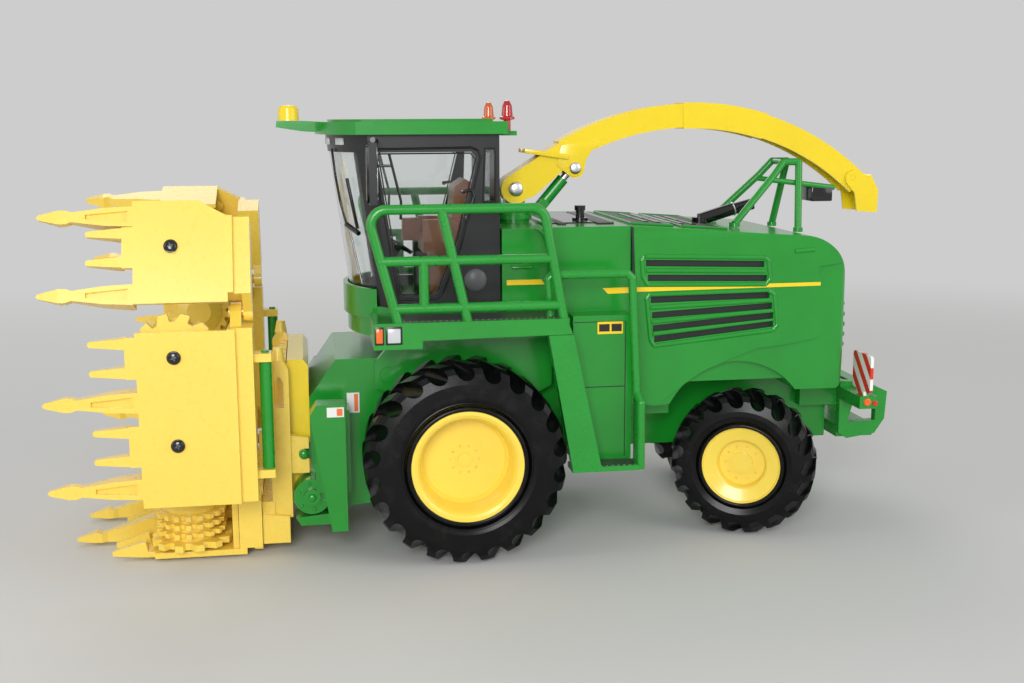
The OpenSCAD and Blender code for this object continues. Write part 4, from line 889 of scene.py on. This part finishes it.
@dataclass
class Hood(Trims):
    """Painted shade in the slots and the gap, stripes, beads and rear bars of the hood, and trims of the body
    before it.
    """

    half: float = 35.0
    # Slots: front end, rear end, lower edge at the front, lower edge at the rear
    slots: tuple = ((-58.8, -97.5, 87.9, 86.7), (-59.5, -98.5, 83.2, 82.2), (-60.5, -99.5, 76.2, 76.8),
                    (-61.0, -100.5, 71.3, 73.3), (-61.3, -101.0, 67.1, 70.2), (-61.8, -101.0, 63.6, 67.5))
    slot_h: float = 2.0
    slot_end: float = 0.1
    slot_edge: float = 0.05
    # Depths of the two faces of the painted-shade strips below the side
    slot_depths: tuple = (1.38, 1.1)
    # Strip of painted shade in the gap between the hood and the body before it: outline and two faces
    gap: tuple = (((-54.0, 100.2), (-54.7, 100.2), (-55.4, 85.4), (-54.7, 85.4)), 34.92, 35.05)
    # Stripes: outline and two faces
    stripes: tuple = ((((-54.7, 81.3), (-54.7, 79.9), (-116.5, 80.4), (-116.5, 81.5)), 34.98, 35.06),
                      (((-45.2, 81.2), (-46.9, 79.4), (-54.0, 79.5), (-54.0, 81.3)), 33.98, 34.08),
                      (((-15.6, 83.9), (-15.6, 82.3), (-27.6, 82.3), (-26.6, 83.9)), 29.45, 29.58))
    # Beads at the ends of the two groups of slots, as (x, z)
    beads: tuple = (((-58.2, 91.0), (-57.5, 89.6), (-57.9, 84.6), (-59.4, 82.0)),
                    ((-97.6, 89.8), (-99.0, 88.6), (-99.6, 83.0), (-98.2, 81.2)),
                    ((-60.2, 79.1), (-59.2, 77.6), (-60.6, 64.6), (-61.8, 62.5)),
                    ((-99.0, 79.3), (-101.2, 77.8), (-102.4, 68.0), (-101.0, 66.4)),
                    ((-59.4, 82.0), (-98.2, 81.2)))
    bead_r: float = 0.8
    bead_sink: float = 0.3
    # Short bead behind them: path, sink into the side, radius
    short_bead: tuple = (((-107.6, 91.6), (-114.0, 92.0)), 0.35, 0.85)
    # Seams round the doors of the box, drawn as dark strips of painted shade
    seams: tuple = (((-50.6, 42.95, 29.5), (-50.3, 43.04, 72.0)),
                    ((-50.3, 42.95, 51.5), (-34.3, 43.04, 51.8)),
                    ((-50.3, 42.95, 71.9), (-34.3, 43.04, 72.15)))
    plate: tuple = ((-49.6, 42.98, 68.2), (-41.6, 43.10, 72.0))
    plate_bevel: float = 0.05
    fields: tuple = (((-45.4, 43.0, 69.0), (-42.1, 43.16, 71.3)), ((-49.2, 43.0, 69.0), (-46.0, 43.16, 71.3)))
    grip: tuple = ((-23.6, 29.4, 87.4), (-17.2, 30.3, 88.2))
    grip_bevel: float = 0.3
    grip_rod: tuple = ((-23.4, 30.0, 90.6), (-17.2, 30.0, 90.6))
    grip_rod_r: float = 0.45
    # Bars across the back, as (x, z)
    bars: tuple = ((-123.4, 87.6), (-124.4, 84.1), (-125.2, 80.6), (-125.9, 77.1), (-126.5, 73.6),
                   (-126.7, 70.1), (-126.8, 66.8), (-126.8, 63.5), (-126.7, 60.2))
    bar_out: float = 0.2
    bar_half: float = 29.6
    bar_r: float = 1.0

    def side(self, name: str, flip: bool) -> None:
        """Makes the trims of one side of the hood and of the box below it.

        Args:
            name: "left" or "right".
            flip: True for the right.
        """
        self.hood_side(name, flip)
        self.box_side(name, flip)

    def hood_side(self, name: str, flip: bool) -> None:
        """Makes the painted shade in the slots and the gap, the stripes and the beads.

        Args:
            name: "left" or "right".
            flip: True for the right.
        """
        # Dark strips of painted shade inside the slots and in the gap before the hood
        dark = Shape(flip)
        low, high = self.slot_edge, self.slot_h - self.slot_edge
        deep, shallow = (self.half - depth for depth in self.slot_depths)
        for x0, x1, z0, z1 in self.slots:
            front, rear = x0 - self.slot_end, x1 + self.slot_end
            corners = ((front, z0 + low), (front, z0 + high), (rear, z1 + high), (rear, z1 + low))
            dark.prism(corners, deep, shallow)
        dark.prism(*self.gap)
        self.fit(dark, "painted_slot_and_gap_shade_" + name, "Painted shade and plate-field black", smooth=False)
        stripe = Shape(flip)
        for row in self.stripes:
            stripe.prism(*row)
        self.fit(stripe, "stripe_" + name, "Stripe yellow", smooth=False)
        beads = Shape(flip)
        rows = [(path, self.bead_sink, self.bead_r) for path in self.beads]
        for path, sink, radius in rows + [self.short_bead]:
            beads.sweep([(x, self.half - sink, z) for x, z in path], radius, 16)
        self.fit(beads, "beads_" + name, "Green enamel")

    def box_side(self, name: str, flip: bool) -> None:
        """Makes the painted shade in the seams, the bare plate with its two fields and the grip before the
        hood.

        Args:
            name: "left" or "right".
            flip: True for the right.
        """
        # The seams are thin strips of painted shade
        self.fit(Shape(flip).boxes(self.seams), "painted_seam_shade_" + name, "Painted shade and plate-field black", smooth=False)
        plate = Shape(flip).box(*self.plate, self.plate_bevel)
        self.fit(plate, "plate_" + name, "Stripe yellow", smooth=False)
        self.fit(Shape(flip).boxes(self.fields), "plate_fields_" + name, "Painted shade and plate-field black", smooth=False)
        grip = Shape(flip).box(*self.grip, self.grip_bevel).sweep(list(self.grip_rod), self.grip_rod_r)
        self.fit(grip, "grip_" + name, "Green enamel")

    def middle(self) -> None:
        """Makes the bars at the rear."""
        rear = Shape()
        for x, z in self.bars:
            rear.sweep([(x + self.bar_out, y, z) for y in (-self.bar_half, self.bar_half)], self.bar_r, 16)
        self.fit(rear, "rear_bars", "Green enamel")


@dataclass
class Deck(Trims):
    """Screens with their frames and the exhaust's collar on top of the hood."""

    # Screens: front end, rear end, half width
    screens: tuple = ((-56.2, -69.4, 27.0), (-72.6, -87.4, 27.0), (-45.6, -50.8, 25.0), (-33.0, -35.4, 25.0))
    # How many of them have frames, from the first
    framed: int = 2
    screen_low: float = -0.05
    screen_high: float = 0.42
    frame_z: float = 0.3
    frame_r: float = 0.45
    top: float = 100.5
    front: float = -54.6
    fall: float = 4.1 / 57.4
    collar: tuple = (-97.2, 4.0, 103.1)
    collar_way: tuple = (-7.6, 0.0, 1.9)
    collar_r: float = 2.1
    collar_wire: float = 0.28

    def height(self, x: float) -> float:
        """Height of the deck.

        Args:
            x: Distance from the front axle.
        Returns:
            The height in millimetres.
        """
        return self.top + min(0.0, (x - self.front) * self.fall)

    def middle(self) -> None:
        """Makes the screens, their frames and the collar."""
        mesh = Shape()
        for x0, x1, half in self.screens:
            z0, z1 = self.height(x0), self.height(x1)
            mesh.prism(((x0, z0 + self.screen_low), (x0, z0 + self.screen_high), (x1, z1 + self.screen_high),
                        (x1, z1 + self.screen_low)), -half, half)
        self.fit(mesh, "deck_screens", "Grille mesh", smooth=False)
        frames = Shape()
        for x0, x1, half in self.screens[:self.framed]:
            z0, z1 = self.height(x0) + self.frame_z, self.height(x1) + self.frame_z
            for y in (-half, 0.0, half):
                frames.sweep([(x0, y, z0), (x1, y, z1)], self.frame_r, 10)
            for x, z in ((x0, z0), (x1, z1)):
                frames.sweep([(x, -half, z), (x, half, z)], self.frame_r, 10)
        self.fit(frames, "deck_frames", "Green enamel")
        collar = Shape().ring(self.collar, along_way(self.collar_way), self.collar_r, self.collar_wire, 40)
        self.fit(collar, "exhaust_collar", "Bright steel")


@dataclass
class Cab(Trims):
    """Gaskets, door trims, mirrors, lamps and wipers round the cab."""

    half: float = 28.0
    screen_x: float = 32.3
    screen_z: float = 80.0
    screen_r: float = 39.0
    tilt: float = 7.1
    # Gaskets: distance out of the side, wire, sides of the wire, path as (x, z)
    gaskets: tuple = (
        (0.05, 0.35, 10, ((17.9, 78.4), (24.9, 124.6), (-5.0, 124.9), (-7.2, 124.0), (-8.0, 121.8),
                          (-1.5, 94.6), (4.5, 79.8), (6.4, 78.4), (17.9, 78.4))),
        (0.02, 0.22, 8, ((17.1, 80.0), (23.4, 123.2), (-4.8, 123.2), (-6.4, 121.4), (0.2, 95.2), (5.6, 81.4),
                         (7.4, 80.0), (17.1, 80.0))),
        (0.0, 0.22, 8, ((-12.6, 108.2), (-8.6, 108.2), (-9.2, 124.6), (-12.6, 124.6), (-12.6, 108.2))))
    # Bulge in the lower panel: x, z, radius, height, and its sink into the side
    bulge: tuple = (-6.0, 84.0, 3.6, 1.3)
    sink: float = 0.1
    # Door handle and the rods ahead of it: wire, and points as (x, distance out of the side, z)
    handle: tuple = (0.5, ((-2.2, 0.9, 111.5), (-5.1, 0.9, 112.0), (-5.6, 0.9, 109.7), (-3.3, 0.9, 103.0)))
    knobs: tuple = ((-2.4, 111.5), (-3.4, 103.4))
    knob_r: float = 0.7
    knob_len: float = 1.3
    rods: tuple = ((0.42, ((20.2, 0.9, 123.4), (16.8, 0.7, 108.9), (17.0, 0.6, 103.3))),
                   (0.4, ((24.0, 0.4, 119.6), (19.3, 0.8, 119.6))),
                   (0.3, ((24.2, 0.4, 126.0), (22.4, 0.4, 104.5))))
    round_mirror: tuple = (24.55, 36.0, 123.4)
    mirror_radii: tuple = (3.0, 2.8)
    mirror_t: float = 0.35
    mirror: tuple = ((24.2, 33.2, 110.0), (24.5, 38.8, 119.4))
    mirror_back: tuple = ((26.6, 32.9, 109.0), (27.6, 39.1, 126.2))
    mirror_back_bevel: float = 0.9
    lamp_places: tuple = (6.5, 17.0)
    lamp_z: float = 126.9
    lamp_half: tuple = (0.4, 2.4, 1.1)
    lamp_out: float = 0.05
    lamp_bevel: float = 0.2
    fine_bevel: float = 0.1
    # Wipers on the screen: wire, and points as (y, z, distance in front of the glass)
    wipers: tuple = ((0.4, ((12.0, 124.6, 0.7), (12.2, 116.0, 0.9), (13.0, 108.0, 0.9), (15.0, 101.0, 0.8))),
                     (0.55, ((19.0, 115.6, 0.6), (20.6, 100.0, 0.6))),
                     (0.8, ((15.0, 101.0, 0.8), (21.0, 98.6, 0.7))),
                     (0.3, ((15.5, 99.6, 0.4), (18.5, 82.5, 0.5))))

    def on_screen(self, y: float, z: float, out: float = 0.0) -> tuple[float, float, float]:
        """Point on the bowed windscreen.

        Args:
            y: Distance from the middle.
            z: Height.
            out: Distance in front of the glass.
        Returns:
            The point.
        """
        lean = math.radians(self.tilt)
        r = self.screen_r + out
        bow = math.sqrt(r * r - y * y) / math.cos(lean)
        return (self.screen_x - self.screen_r + (z - self.screen_z) * math.tan(lean) + bow, y, z)

    def out_of_side(self, points: tuple) -> list[tuple]:
        """Points given by their distance out of the cab's side.

        Args:
            points: Rows of x, distance and z.
        Returns:
            The points in space.
        """
        return [(x, self.half + out, z) for x, out, z in points]

    def side(self, name: str, flip: bool) -> None:
        """Makes the door, the mirrors and the roof's lamps of one side.

        Args:
            name: "left" or "right".
            flip: True for the right.
        """
        self.door(name, flip)
        self.mirrors(name, flip)
        roof = Shape(flip)
        for place in self.lamp_places:
            middle, size = Vector(self.on_screen(place, self.lamp_z, self.lamp_out)), Vector(self.lamp_half)
            turn = Matrix.Rotation(math.asin(place / self.screen_r), 4, "Z")
            roof.box(tuple(middle - size), tuple(middle + size), self.lamp_bevel, turn)
        self.fit(roof, "roof_lamps_" + name, "Reflector grey")

    def door(self, name: str, flip: bool) -> None:
        """Makes the gaskets, the panel's bulge, the handle and the rods of a door.

        Args:
            name: "left" or "right".
            flip: True for the right.
        """
        lines = Shape(flip)
        for out, wire, sides, path in self.gaskets:
            lines.sweep([(x, self.half + out, z) for x, z in path], wire, sides)
        self.fit(lines, "gasket_" + name, "Glossy black")
        x, z, radius, height = self.bulge
        bulge = Shape(flip).dome((x, self.half - self.sink, z), Axis.Y, radius, height, 40)
        self.fit(bulge, "panel_bulge_" + name, "Grey trim")
        wire, points = self.handle
        trims = Shape(flip).sweep(self.out_of_side(points), wire)
        for x, z in self.knobs:
            foot = (x, self.half - self.sink, z)
            trims.drum(foot, Axis.Y, self.knob_r, self.knob_r, self.knob_len, 16, self.fine_bevel)
        for wire, points in self.rods:
            trims.sweep(self.out_of_side(points), wire)
        self.fit(trims, "door_trims_" + name, "Glossy black")

    def mirrors(self, name: str, flip: bool) -> None:
        """Makes the faces and the back of one side's mirrors.

        Args:
            name: "left" or "right".
            flip: True for the right.
        """
        rearward = turn_to(Axis.X) @ Matrix.Rotation(math.pi, 4, "Y")
        faces = Shape(flip)
        faces.drum(self.round_mirror, rearward, *self.mirror_radii, self.mirror_t, 32, self.fine_bevel)
        faces.box(*self.mirror, self.fine_bevel)
        self.fit(faces, "mirror_face_" + name, "Mirror face")
        back = Shape(flip).box(*self.mirror_back, self.mirror_back_bevel)
        self.fit(back, "mirror_back_" + name, "Glossy black")

    def middle(self) -> None:
        """Makes the windscreen's wipers."""
        wiper = Shape()
        for wire, points in self.wipers:
            wiper.sweep([self.on_screen(*point) for point in points], wire, 10)
        self.fit(wiper, "screen_wiper", "Glossy black")


@dataclass
class Platforms(Trims):
    """Grip strips and lamps of the platforms and the grip on the ladder's lowest tread."""

    strip: tuple = ((-30.4, 35.4, 74.55), (18.4, 48.4, 74.8))
    frames: tuple = (((18.7, 50.6, 68.2), (23.7, 51.15, 73.7)), ((24.1, 50.4, 68.2), (26.9, 51.12, 73.7)))
    frame_bevel: float = 0.25
    clear: tuple = ((19.3, 50.9, 68.8), (23.1, 51.45, 73.1))
    clear_bevel: float = 0.3
    orange: tuple = ((24.5, 50.8, 68.8), (26.5, 51.4, 73.1))
    orange_bevel: float = 0.25
    tread: tuple = ((-52.2, 43.4, 28.35), (-34.0, 50.4, 28.6))

    def side(self, name: str, flip: bool) -> None:
        """Makes the strip and the lamps of one platform.

        Args:
            name: "left" or "right".
            flip: True for the right.
        """
        self.fit(Shape(flip).box(*self.strip), "grip_strip_" + name, "Grip strip", smooth=False)
        self.fit(Shape(flip).boxes(self.frames, self.frame_bevel), "lamp_frames_" + name, "Black plastic")
        self.fit(Shape(flip).box(*self.clear, self.clear_bevel), "side_lamp_" + name, "Reflector grey")
        self.fit(Shape(flip).box(*self.orange, self.orange_bevel), "turn_lamp_" + name, "Lamp orange")

    def middle(self) -> None:
        """Makes the grip on the ladder's lowest tread."""
        self.fit(Shape().box(*self.tread), "step_grip", "Grip strip", smooth=False)


@dataclass
class Tail(Trims):
    """Lamps of the rear hitch and bolts of its boards."""

    # Round lamps: base, radius at the base, radius of the face, length
    turn: tuple = ((-133.6, 35.9, 41.7), 1.35, 1.2, 0.7)
    stop: tuple = ((-136.3, 35.9, 41.2), 0.95, 0.85, 0.7)
    lamp_bevel: float = 0.15
    reflector: tuple = ((-137.4, 30.0, 40.2), (-136.9, 35.0, 42.8))
    reflector_bevel: float = 0.1
    bolts: tuple = ((-135.6, 31.4, 43.55), (-135.6, 35.0, 43.55))
    bolt_r: float = 0.9
    bolt_h: float = 0.5

    def side(self, name: str, flip: bool) -> None:
        """Makes the lamps and bolts of one end of the hitch.

        Args:
            name: "left" or "right".
            flip: True for the right.
        """
        base, *sizes = self.turn
        orange = Shape(flip).drum(base, Axis.Y, *sizes, 24, self.lamp_bevel)
        self.fit(orange, "tail_turn_" + name, "Lamp orange")
        base, *sizes = self.stop
        red = Shape(flip).drum(base, Axis.Y, *sizes, 24, self.lamp_bevel)
        red.box(*self.reflector, self.reflector_bevel)
        self.fit(red, "tail_red_" + name, "Lamp red")
        bolts = Shape(flip)
        for place in self.bolts:
            bolts.dome(place, Axis.Z, self.bolt_r, self.bolt_h, 16)
        self.fit(bolts, "board_bolts_" + name, "Green plastic")


@dataclass
class Feeder(Trims):
    """Bare plates on the feeder's sides and bolts of its coupling."""

    body: str = "header"
    # Plates: front and rear ends along X, the face's place along Y, lower and upper edges
    plates: tuple = ((36.2, 41.3, 42.0, 45.2, 48.2), (30.9, 34.8, 26.2, 42.8, 49.2))
    plate_in: float = 0.02
    plate_out: float = 0.08
    field_out: float = 0.1
    field_edge: float = 0.4
    field_share: float = 0.42
    # Gearbox: middle of its hub's face, radius and height of the hub's cap, and its ring of bolts
    hub: tuple = (46.4, 36.0, 18.6)
    hub_cap: tuple = (1.3, 0.7)
    bolt_count: int = 6
    bolt_ring: float = 4.2
    bolt_y: float = 34.45
    bolt_turn: float = 20.0
    bolt_cap: tuple = (0.55, 0.4)
    knob: tuple = (48.6, 30.2, 31.0)
    knob_cap: tuple = (1.45, 0.8)

    def side(self, name: str, flip: bool) -> None:
        """Makes the bolts and the plates of one side.

        Args:
            name: "left" or "right".
            flip: True for the right.
        """
        bolts = Shape(flip).dome(self.hub, Axis.Y, *self.hub_cap)
        x, _, z = self.hub
        for i in range(self.bolt_count):
            a = math.radians(360 / self.bolt_count * i + self.bolt_turn)
            place = (x + self.bolt_ring * math.cos(a), self.bolt_y, z + self.bolt_ring * math.sin(a))
            bolts.dome(place, Axis.Y, *self.bolt_cap, 12)
        bolts.dome(self.knob, Axis.Y, *self.knob_cap)
        self.fit(bolts, "coupling_bolts_" + name, "Green plastic")
        plates, fields = Shape(flip), Shape(flip)
        edge = self.field_edge
        for x0, x1, y, z0, z1 in self.plates:
            end = x0 + self.field_share * (x1 - x0)
            plates.box((x0, y - self.plate_in, z0), (x1, y + self.plate_out, z1))
            fields.box((x0 + edge, y, z0 + edge), (end, y + self.field_out, z1 - edge))
        self.fit(plates, "bare_plates_" + name, "Plate white", smooth=False)
        self.fit(fields, "plate_fields_feeder_" + name, "Plate orange", smooth=False)


@dataclass
class Header(Trims):
    """Screws of the drums under the folded beds."""

    # Middles of the screws' seats on a wing and on an outer bed
    wing_seats: tuple = ((84.0, 53.35, 41.2), (84.0, 53.35, 67.0))
    outer_seats: tuple = ((84.0, 46.75, 98.2),)
    outer_lean: float = -70.0
    # Washer: radius at the base, radius of the face, thickness
    washer: tuple = (2.05, 1.95, 0.35)
    washer_bevel: float = 0.1
    head_z: float = 0.3
    head: tuple = (1.75, 0.65)
    cross_z: float = 0.84
    cross_half: tuple = (0.85, 0.2, 0.16)
    cross_turn: float = 0.35
    cross_bevel: float = 0.05

    def screw(self, shape: Shape, place: tuple, facing: Matrix) -> None:
        """Adds one screw with its washer.

        Args:
            shape: Mesh that it joins.
            place: Middle of its seat.
            facing: Rotation that takes +Z to its axis.
        """
        shape.drum(place, facing, *self.washer, 32, self.washer_bevel)
        shape.dome(tuple(Vector(place) + facing @ Vector((0, 0, self.head_z))), facing, *self.head, 32)

    def cross(self, shape: Shape, place: tuple, facing: Matrix) -> None:
        """Adds the cross on a screw's head.

        Args:
            shape: Mesh that it joins.
            place: Middle of the screw's seat.
            facing: Rotation that takes +Z to its axis.
        """
        middle = Vector(place) + facing @ Vector((0, 0, self.cross_z))
        size = Vector(self.cross_half)
        for turn in (self.cross_turn, self.cross_turn + math.pi / 2):
            spin = facing @ Matrix.Rotation(turn, 4, "Z")
            shape.box(tuple(middle - size), tuple(middle + size), self.cross_bevel, spin)

    def side(self, name: str, flip: bool) -> None:
        """Makes the screws of one side's beds.

        Args:
            name: "left" or "right".
            flip: True for the right.
        """
        lean = Matrix.Rotation(math.radians(self.outer_lean), 4, "X")
        groups = (("wing_" + name, turn_to(Axis.Y), self.wing_seats),
                  ("outer_" + name, lean, self.outer_seats))
        for body, facing, seats in groups:
            heads, crosses = Shape(flip), Shape(flip)
            for place in seats:
                self.screw(heads, place, facing)
                self.cross(crosses, place, facing)
            self.fit(heads, "screws_" + body, "Glossy black", body)
            self.fit(crosses, "screw_crosses_" + body, "Grey trim", body)


@dataclass
class Spout(Trims):
    """Rivet heads, web and tab of the spout and its rest's lamp."""

    half: float = 5.0
    # Rivet heads: middle of the foot, radius, height
    pivot: tuple = ((-22.6, 5.45, 110.8), 2.4, 0.9)
    eye: tuple = ((-42.4, 5.45, 117.4), 2.0, 0.8)
    # Web between the boom and the ram's eye, and the slanted tab over it, as (x, z)
    web: tuple = ((-36.2, 118.4), (-37.6, 124.9), (-50.4, 126.2), (-50.0, 124.6), (-47.6, 122.6),
                  (-46.0, 119.9), (-45.5, 117.0), (-43.9, 115.0), (-41.6, 114.5), (-39.6, 115.6))
    web_in: float = 0.05
    web_out: float = 0.3
    web_bevel: float = 0.1
    tab: tuple = ((-25.3, 123.9), (-25.3, 122.5), (-39.2, 120.3), (-40.2, 120.5), (-40.2, 122.0))
    tab_in: float = 3.0
    tab_out: float = 1.25
    tab_bevel: float = 0.2
    lamp: tuple = ((-131.7, -6.1, 105.3), (-124.3, 6.1, 110.3))
    lamp_bevel: float = 0.4
    lens: tuple = ((-132.0, -5.2, 106.0), (-131.6, 5.2, 109.4))
    lens_bevel: float = 0.15

    def side(self, name: str, flip: bool) -> None:
        """Makes the heads, the web and the tab of one side.

        Args:
            name: "left" or "right".
            flip: True for the right.
        """
        heads = (("pivot_head_", self.pivot, "turret"), ("eye_head_", self.eye, "boom"))
        for kind, (foot, radius, height), body in heads:
            self.fit(Shape(flip).dome(foot, Axis.Y, radius, height), kind + name, "Bright steel", body)
        web = Shape(flip).prism(self.web, self.half - self.web_in, self.half + self.web_out, self.web_bevel)
        web.prism(self.tab, self.half - self.tab_in, self.half + self.tab_out, self.tab_bevel)
        self.fit(web, "boom_web_" + name, "Yellow enamel", "boom")

    def middle(self) -> None:
        """Makes the lamp of the rest."""
        self.fit(Shape().box(*self.lamp, self.lamp_bevel), "rest_lamp", "Glossy black")
        self.fit(Shape().box(*self.lens, self.lens_bevel), "rest_lens", "Reflector grey")


@dataclass
class Stage:
    """Floor, lamps, world and camera."""

    lens_mm: float = 45.117
    sensor_mm: float = 36.0
    near_clip: float = 0.01
    spot: tuple = (0.058665, 0.422656, 0.133508)
    right: tuple = (-0.98751331, 0.15745661, -0.00498708)
    down: tuple = (0.0317767, 0.16808655, -0.98525994)
    forward: tuple = (-0.15429743, -0.97311578, -0.17099115)
    backdrop: tuple = (0.61, 0.61, 0.61, 1.0)
    sky: tuple = (1.0, 1.0, 1.0, 1.0)
    sky_strength: float = 0.42
    seeing: tuple = ("Is Camera Ray", "Is Glossy Ray", "Is Transmission Ray")
    floor_half: float = 6.0
    floor_colour: tuple = (0.62, 0.62, 0.61, 1.0)
    floor_roughness: float = 0.85
    # Distances from the toy where the floor starts to fade and where it is all backdrop, in metres
    fade_from: float = 0.2
    fade_to: float = 0.75
    # Lamps: name, place in metres, side in metres, power in watts
    lamps: tuple = (("key", (0.20, 0.80, 0.33), 0.32, 4.5), ("fill", (-0.7, 0.5, 0.4), 0.6, 2.2),
                    ("back", (0.1, -0.8, 0.7), 0.6, 2.4), ("front", (0.9, 0.1, 0.45), 0.5, 1.4))
    aim: tuple = (0.0, 0.0, 0.06)

    def floor(self) -> None:
        """Makes the wide flat floor."""
        part = bmesh.new()
        bmesh.ops.create_grid(part, x_segments=1, y_segments=1, size=self.floor_half)
        mesh = bpy.data.meshes.new("studio_floor")
        part.to_mesh(mesh)
        part.free()
        floor = bpy.data.objects.new("studio_floor", mesh)
        bpy.context.scene.collection.objects.link(floor)
        mesh.materials.append(self.floor_finish())

    def floor_finish(self) -> bpy.types.Material:
        """Makes the floor's material, which takes shadows near the toy and fades into the backdrop.

        Returns:
            The material.
        """
        graph = Graph("Studio floor")
        graph.set(Base_Color=self.floor_colour, Roughness=self.floor_roughness)
        along, across, _ = graph.along()
        far = (along * along + across * across).ramp(self.fade_from ** 2, self.fade_to ** 2)
        rays = graph.node("ShaderNodeLightPath")
        seen = sum(Wire(graph, rays.outputs[kind]) for kind in self.seeing)
        glow = graph.node("ShaderNodeEmission", None, {"Color": self.backdrop, "Strength": 1.0})
        mixed = graph.node("ShaderNodeMixShader")
        graph.feed(mixed.inputs[0], far * (seen > 0.5))
        graph.feed(mixed.inputs[1], graph.shader.outputs[0])
        graph.feed(mixed.inputs[2], glow.outputs[0])
        out = next(node for node in graph.tree.nodes if node.type == "OUTPUT_MATERIAL")
        graph.feed(out.inputs["Surface"], mixed.outputs[0])
        return graph.material

    def world(self) -> None:
        """Makes a soft even sky, which the eye, gloss and glass see as the backdrop."""
        world = bpy.data.worlds.new("Studio")
        bpy.context.scene.world = world
        world.use_nodes = True
        tree = world.node_tree
        tree.nodes.clear()
        out = tree.nodes.new("ShaderNodeOutputWorld")
        mix = tree.nodes.new("ShaderNodeMixShader")
        for slot, colour, strength in ((1, self.sky, self.sky_strength), (2, self.backdrop, 1.0)):
            light = tree.nodes.new("ShaderNodeBackground")
            light.inputs[0].default_value = colour
            light.inputs[1].default_value = strength
            tree.links.new(light.outputs[0], mix.inputs[slot])
        rays = tree.nodes.new("ShaderNodeLightPath")
        any_ray = rays.outputs[self.seeing[0]]
        for kind in self.seeing[1:]:
            larger = tree.nodes.new("ShaderNodeMath")
            larger.operation = "MAXIMUM"
            tree.links.new(any_ray, larger.inputs[0])
            tree.links.new(rays.outputs[kind], larger.inputs[1])
            any_ray = larger.outputs[0]
        tree.links.new(any_ray, mix.inputs[0])
        tree.links.new(mix.outputs[0], out.inputs[0])

    def lamp(self, name: str, place: tuple, size: float, power: float) -> None:
        """Hangs one square area lamp that looks at the toy.

        Args:
            name: Name of the lamp.
            place: Where it hangs, in metres.
            size: Its side in metres.
            power: Its power in watts.
        """
        data = bpy.data.lights.new(name, "AREA")
        data.size = size
        data.energy = power
        lamp = bpy.data.objects.new(name, data)
        lamp.location = place
        lamp.rotation_euler = (Vector(self.aim) - Vector(place)).to_track_quat("-Z", "Y").to_euler()
        bpy.context.scene.collection.objects.link(lamp)

    def camera(self) -> None:
        """Sets the camera at the photograph's viewing angle."""
        data = bpy.data.cameras.new("photo_camera")
        data.sensor_width = self.sensor_mm
        data.lens = self.lens_mm
        data.clip_start = self.near_clip
        camera = bpy.data.objects.new("photo_camera", data)
        right, up, back = Vector(self.right), -Vector(self.down), -Vector(self.forward)
        camera.matrix_world = Matrix.Translation(self.spot) @ Matrix((right, up, back)).transposed().to_4x4()
        bpy.context.scene.collection.objects.link(camera)
        bpy.context.scene.camera = camera

    def build(self) -> None:
        """Sets the studio."""
        self.floor()
        self.world()
        for row in self.lamps:
            self.lamp(*row)
        self.camera()
        bpy.context.scene.view_settings.view_transform = "Standard"


def main() -> None:
    """Loads the frame and dresses it, sub-assembly by sub-assembly."""
    logging.basicConfig(level=logging.INFO, format="%(name)s: %(message)s")
    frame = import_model()
    finishes = Finishes()
    for finish, names in NODE_FINISHES.items():
        for name in names:
            finishes.paint(frame["nodes"][name], finish)
    for part in (Wheels(finishes), Hood(finishes), Deck(finishes), Cab(finishes), Platforms(finishes),
                 Tail(finishes), Feeder(finishes), Header(finishes), Spout(finishes), Stage()):
        part.build()
        LOG.info("%s is in place", type(part).__name__)


if __name__ == "__main__":
    main()
